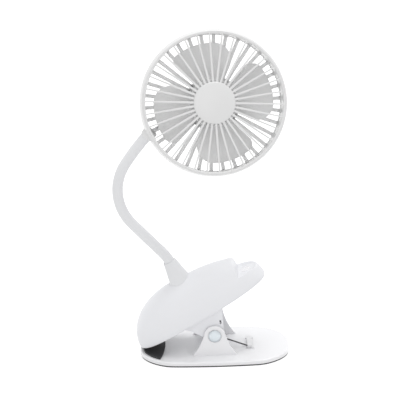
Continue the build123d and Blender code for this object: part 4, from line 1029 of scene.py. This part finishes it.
blade_grey = finish_of("blade_grey", (0.83, 0.83, 0.83), 0.38, 0.4 * mm, 0.005 * mm, 0.02)
blades = bmesh.new()
lead_turn = math.asin(LEAD_CORNER / (TIP_R - LEAD_CORNER))
trail_turn = math.asin(TRAIL_CORNER / (TIP_R - TRAIL_CORNER))
lead_middle = from_axis(TIP_R - LEAD_CORNER, lead_turn)
trail_middle = from_axis(TIP_R - TRAIL_CORNER, BLADE_SPREAD - trail_turn)
start = blades.verts.new(from_axis(HUB_R - HUB_SUNK, 0))
at = line_on(blades, start, from_axis((TIP_R - LEAD_CORNER) * math.cos(lead_turn), 0))
at = arc_on(blades, at, lead_middle, lead_turn + math.pi / 2, 26, AXIS)
at = arc_on(blades, at, (0, 0, 0), BLADE_SPREAD - lead_turn - trail_turn, 12, AXIS)
at = arc_on(blades, at, trail_middle, trail_turn + math.pi / 2, 14, AXIS)
at = line_on(blades, at, from_axis(HUB_R - HUB_SUNK, BLADE_SPREAD))
arc_on(blades, at, (0, 0, 0), -BLADE_SPREAD, 16, AXIS)
bmesh.ops.remove_doubles(blades, verts=blades.verts, dist=1e-6)
bmesh.ops.contextual_create(blades, geom=blades.edges[:])
for number in range(1, BLADE_STRIPS):
    turn = BLADE_SPREAD * number / BLADE_STRIPS
    bmesh.ops.bisect_plane(
        blades, geom=all_of(blades), plane_co=(0, 0, 0),
        plane_no=(-math.sin(turn), math.cos(turn), 0),
    )
thicken(blades, blades.faces[:], (0, 0, BLADE_THICK))
soften(blades, 0.55 * mm, 3, over=60)
for v in blades.verts:
    turn = math.atan2(v.co.y, v.co.x)
    v.co.z += BLADE_DEPTH * (0.5 - turn / BLADE_SPREAD) - BLADE_THICK / 2
bmesh.ops.rotate(blades, verts=blades.verts, matrix=Matrix.Rotation(BLADE_START, 3, "Z"))
copies_round(blades, BLADES)
bm = turned([
    (0, 8.0 * mm), (21.4 * mm, 8.0 * mm), (22.6 * mm, 7.7 * mm), (23.4 * mm, 6.9 * mm),
    (HUB_R, 5.8 * mm), (HUB_R, -6.6 * mm), (HUB_R - 0.4 * mm, -7.0 * mm),
    (HUB_BORE_R, -7.0 * mm), (HUB_BORE_R, 6.0 * mm), (0, 6.0 * mm),
])
add_shape(bm, blades)
bm.transform(HEAD)
finished("blades", bm, blade_grey, "rotor", ["fan_rotor"])

# ---------------------------------------------------------------- inner and small parts
# What the shells hide, and the small metal parts: each keeps its solid and gets its own finish,
# such as steel screws and cans, a cast motor flange, copper coils, green boards, sleeved cells.
plain_steel = finish_of(
    "plain_steel", (0.56, 0.57, 0.58), 0.3, 0.15 * mm, 0.004 * mm, 0.06, metal=0.9
)
pale_strip = finish_of(
    "pale_strip", (0.80, 0.80, 0.81), 0.3, 0.2 * mm, 0.003 * mm, 0.02, metal=0.2
)
grey_rubber = finish_of("grey_rubber", (0.15, 0.15, 0.155), 0.6, 0.35 * mm, 0.02 * mm, 0.1)
blue_sleeve = finish_of(
    "blue_sleeve", (0.04, 0.16, 0.42), 0.25, 0.6 * mm, 0.004 * mm, 0.05, coat=0.3
)
grey_sleeve = finish_of("grey_sleeve", (0.66, 0.66, 0.67), 0.45, 0.4 * mm, 0.01 * mm, 0.03)
dark_plastic = finish_of("dark_plastic", (0.02, 0.02, 0.022), 0.45, 0.3 * mm, 0.01 * mm, 0.1)
board_green = finish_of(
    "board_green", (0.015, 0.10, 0.035), 0.3, 0.8 * mm, 0.01 * mm, 0.25, coat=0.4
)
cast_alloy = finish_of(
    "cast_alloy", (0.62, 0.63, 0.64), 0.45, 0.5 * mm, 0.02 * mm, 0.06, metal=0.9
)
copper_wire = finish_of(
    "copper_wire", (0.62, 0.24, 0.10), 0.3, 0.25 * mm, 0.05 * mm, 0.15, metal=0.9
)
ferrite = finish_of("ferrite", (0.03, 0.03, 0.032), 0.55, 0.3 * mm, 0.02 * mm, 0.12)
finish_by_node = {
    "spring_seat": pale_strip, "cover_screws": plain_steel, "upper_jaw_pad": grey_rubber,
    "battery_cells": blue_sleeve, "battery_cradle": dark_plastic, "control_board": board_green,
    "charge_port": plain_steel, "tact_switch": dark_plastic, "socket_nut": plain_steel,
    "motor_base": cast_alloy, "motor_screws": plain_steel, "motor_board": board_green,
    "motor_lead": grey_sleeve, "stator_core": plain_steel, "stator_windings": copper_wire,
    "bearings": plain_steel, "rotor_shaft": plain_steel, "rotor_can": plain_steel,
    "magnet_ring": ferrite,
}
for node, finish in finish_by_node.items():
    nodes[node].data.materials.clear()
    nodes[node].data.materials.append(finish)
